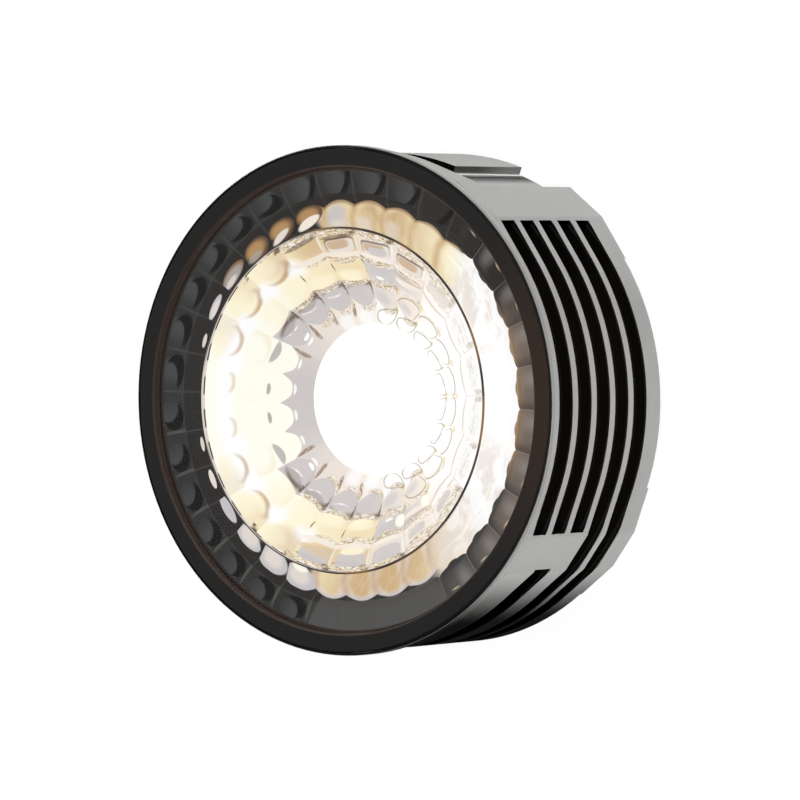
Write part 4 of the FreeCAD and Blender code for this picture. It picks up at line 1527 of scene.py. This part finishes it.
@dataclass
class Driver(Assembly):
    """The driver board with its parts, under the deck."""

    def build(self) -> None:
        """Dresses each node of the driver."""
        case = Finish("chip_case", grey(34), grey(52), 0.6, Pattern.SPECKLE, 5200.0)
        steel = Finish("terminal_steel", grey(160), grey(205), 0.32, Pattern.BRUSHED, 2400.0, 0.00001, 1.0)
        self.dress_all({
            "insulation_sheet": Finish("sheet_board", rgb(224, 214, 186), rgb(242, 236, 216), 0.8,
                                       Pattern.FIBRES, 1100.0),
            "driver_board": Finish("board_mask", rgb(22, 84, 44), rgb(46, 124, 70), 0.25, Pattern.TRACKS,
                                   420.0, 0.00003, coat=0.4),
            "choke_core": Finish("ferrite_core", grey(44), grey(66), 0.7, Pattern.SPECKLE, 3800.0),
            "choke_winding": Finish("copper_turns", rgb(120, 58, 30), rgb(214, 128, 78), 0.32, Pattern.TURNS,
                                    3200.0, 0.00008, 0.85),
            "smoothing_capacitor": Finish("capacitor_sleeve", rgb(30, 34, 46), rgb(48, 54, 70), 0.3,
                                          scale=500.0, coat=0.3),
            "film_capacitor": Finish("film_box", rgb(208, 168, 60), rgb(226, 190, 84), 0.35, scale=700.0),
            "bridge_rectifier": case,
            "driver_chip": case,
            "fuse_resistor": Finish("resistor_coat", rgb(150, 172, 184), rgb(176, 196, 206), 0.4,
                                    Pattern.SPECKLE, 2600.0),
            "terminal_block": Finish("terminal_grey", grey(124), grey(148), 0.5, scale=1500.0),
            "terminal_screws": steel,
        })


@dataclass
class Back(Assembly):
    """The back cover with its screws and cable bush."""

    def build(self) -> None:
        """Dresses each node of the back."""
        self.dress_all({
            "back_cover": Finish("cover_black", grey(44), grey(64), 0.62, Pattern.SPECKLE, 2800.0, 0.00004),
            "back_cover_screws": Finish("screw_black", grey(40), grey(74), 0.35, Pattern.BRUSHED, 2600.0,
                                        0.00001, 0.9),
            "cable_grommet": Finish("grommet_rubber", grey(30), grey(42), 0.72, scale=1600.0, relief=0.00003),
        })


# Stage


@dataclass(frozen=True)
class Beam:
    """An area lamp that shines level or slantwise onto the module.

    Its direction is given by the azimuth it stands at and its elevation. It is shifted sideways across
    its beam, so that the beam's edge can pass the module.
    """

    name: str
    azimuth: float
    elevation: float
    level: float
    width: float
    height: float
    shift: float = 0.0
    spread: float = 20.0
    distance: float = 160.0
    aim_z: float = 10.0

    def build(self) -> None:
        """Makes the lamp. Its power is its level times its area, for a plain reading of the level."""
        lamp = bpy.data.lights.new(self.name, "AREA")
        lamp.shape = "RECTANGLE"
        lamp.size, lamp.size_y = self.width * MM, self.height * MM
        lamp.spread = math.radians(self.spread)
        lamp.energy = self.level * math.pi * self.width * self.height * MM * MM
        lamp_object = bpy.data.objects.new(self.name, lamp)
        a, e = math.radians(self.azimuth), math.radians(self.elevation)
        out = Vector((math.cos(a) * math.cos(e), math.sin(a) * math.cos(e), math.sin(e)))
        side = Vector((-math.sin(a), math.cos(a), 0.0))
        place = out * self.distance + side * self.shift + Vector((0.0, 0.0, self.aim_z))
        turn = Matrix((side, out.cross(side), out)).transposed()
        lamp_object.matrix_world = Matrix.Translation(place * MM) @ turn.to_4x4()
        lamp_object.visible_camera = False
        lamp_object.visible_glossy = False
        bpy.context.scene.collection.objects.link(lamp_object)


@dataclass
class Studio:
    """The stage: floor, surroundings, lamps and the camera at the photograph's angle."""

    floor_half: float = 1500.0
    view_tilt: float = 35.25
    view_roll: float = -2.13
    view_distance: float = 600.0
    aim_side: float = 5.944
    aim_up: float = 0.06
    front_z: float = 20.0
    focal: float = 276.0
    floor_tone: float = 0.03
    floor_seen: float = 0.98
    sky_seen: float = 0.99
    sky_light: float = 0.01
    sun_level: float = 0.35
    sun_angle: float = 10.0

    def shown(self, graph: Graph) -> Num:
        """Is 1 for what the camera, a mirror or clear glass sees, and 0 for light that falls on things.

        Args:
            graph: the graph it is added to.
        Returns:
            The number, 0 or 1.
        """
        path = graph.add("ShaderNodeLightPath")
        camera, mirror, glass = (Num(graph, path.outputs[f"Is {kind} Ray"])
                                 for kind in ("Camera", "Glossy", "Transmission"))
        return camera.max(mirror).max(glass)

    def floor(self) -> None:
        """Makes the pale floor, which keeps the module's shadow."""
        half = self.floor_half * MM
        corners = [(-half, -half, 0.0), (half, -half, 0.0), (half, half, 0.0), (-half, half, 0.0)]
        mesh = bpy.data.meshes.new("studio_floor")
        mesh.from_pydata(corners, [], [(0, 1, 2, 3)])
        floor = bpy.data.objects.new("studio_floor", mesh)
        bpy.context.scene.collection.objects.link(floor)
        graph = Graph.named("studio_floor")
        graph.surface(
            base_color=(self.floor_tone, self.floor_tone, self.floor_tone, 1.0),
            roughness=0.9,
            specular_ior_level=0.0,
            emission_color=(1.0, 1.0, 1.0, 1.0),
            emission_strength=self.shown(graph) * self.floor_seen,
        )
        mesh.materials.append(graph.owner)

    def world(self) -> None:
        """Makes the surroundings: white where they are seen, and faint as a light."""
        world = bpy.data.worlds.new("studio")
        bpy.context.scene.world = world
        graph = Graph(world)
        background = graph.add("ShaderNodeBackground")
        graph.set(background, 1, self.shown(graph) * self.sky_seen + self.sky_light)
        output = graph.add("ShaderNodeOutputWorld")
        graph.set(output, 0, background.outputs[0])

    def lamps(self) -> None:
        """Makes the lamps: two on the sides that the photograph shows lit, one opposite, one above."""
        beams = (
            Beam("lamp_upper", 60.0, 14.0, 0.95, 120.0, 90.0),
            Beam("lamp_lower", -70.0, 10.0, 1.0, 40.0, 90.0, shift=28.0, spread=5.0),
            Beam("lamp_far", 180.0, 25.0, 0.6, 140.0, 90.0, spread=60.0),
        )
        for beam in beams:
            beam.build()
        sun = bpy.data.lights.new("lamp_above", "SUN")
        sun.energy = self.sun_level * math.pi
        sun.angle = math.radians(self.sun_angle)
        above = bpy.data.objects.new("lamp_above", sun)
        above.visible_glossy = False
        bpy.context.scene.collection.objects.link(above)

    def camera(self) -> None:
        """Puts the camera where the photograph was taken from, turned from the axis towards +X."""
        a, t = math.radians(self.view_tilt), math.radians(self.view_roll)
        out = Vector((math.sin(a), 0.0, math.cos(a)))
        level = Vector((math.cos(a), 0.0, -math.sin(a)))
        up = Vector((0.0, 1.0, 0.0))
        right = level * math.cos(t) + up * math.sin(t)
        top = up * math.cos(t) - level * math.sin(t)
        aim = Vector((0.0, 0.0, self.front_z)) + right * self.aim_side + top * self.aim_up
        camera = bpy.data.cameras.new("photo_camera")
        camera.lens = self.focal
        camera.sensor_width = 36.0
        camera.clip_start = 0.01
        holder = bpy.data.objects.new("photo_camera", camera)
        turn = Matrix((right, top, out)).transposed()
        holder.matrix_world = Matrix.Translation((aim + out * self.view_distance) * MM) @ turn.to_4x4()
        bpy.context.scene.collection.objects.link(holder)
        bpy.context.scene.camera = holder

    def build(self) -> None:
        """Makes the whole stage."""
        bpy.context.scene.view_settings.view_transform = "Standard"
        self.camera()
        self.floor()
        self.world()
        self.lamps()


def main() -> None:
    """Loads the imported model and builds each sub-assembly in order."""
    logging.basicConfig(level=logging.INFO, format="%(message)s")
    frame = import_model()
    Studio().build()
    for assembly in (Drum, Optic, Source, Driver, Back):
        group = assembly(frame["nodes"])
        group.build()
        group.report()


if __name__ == "__main__":
    main()
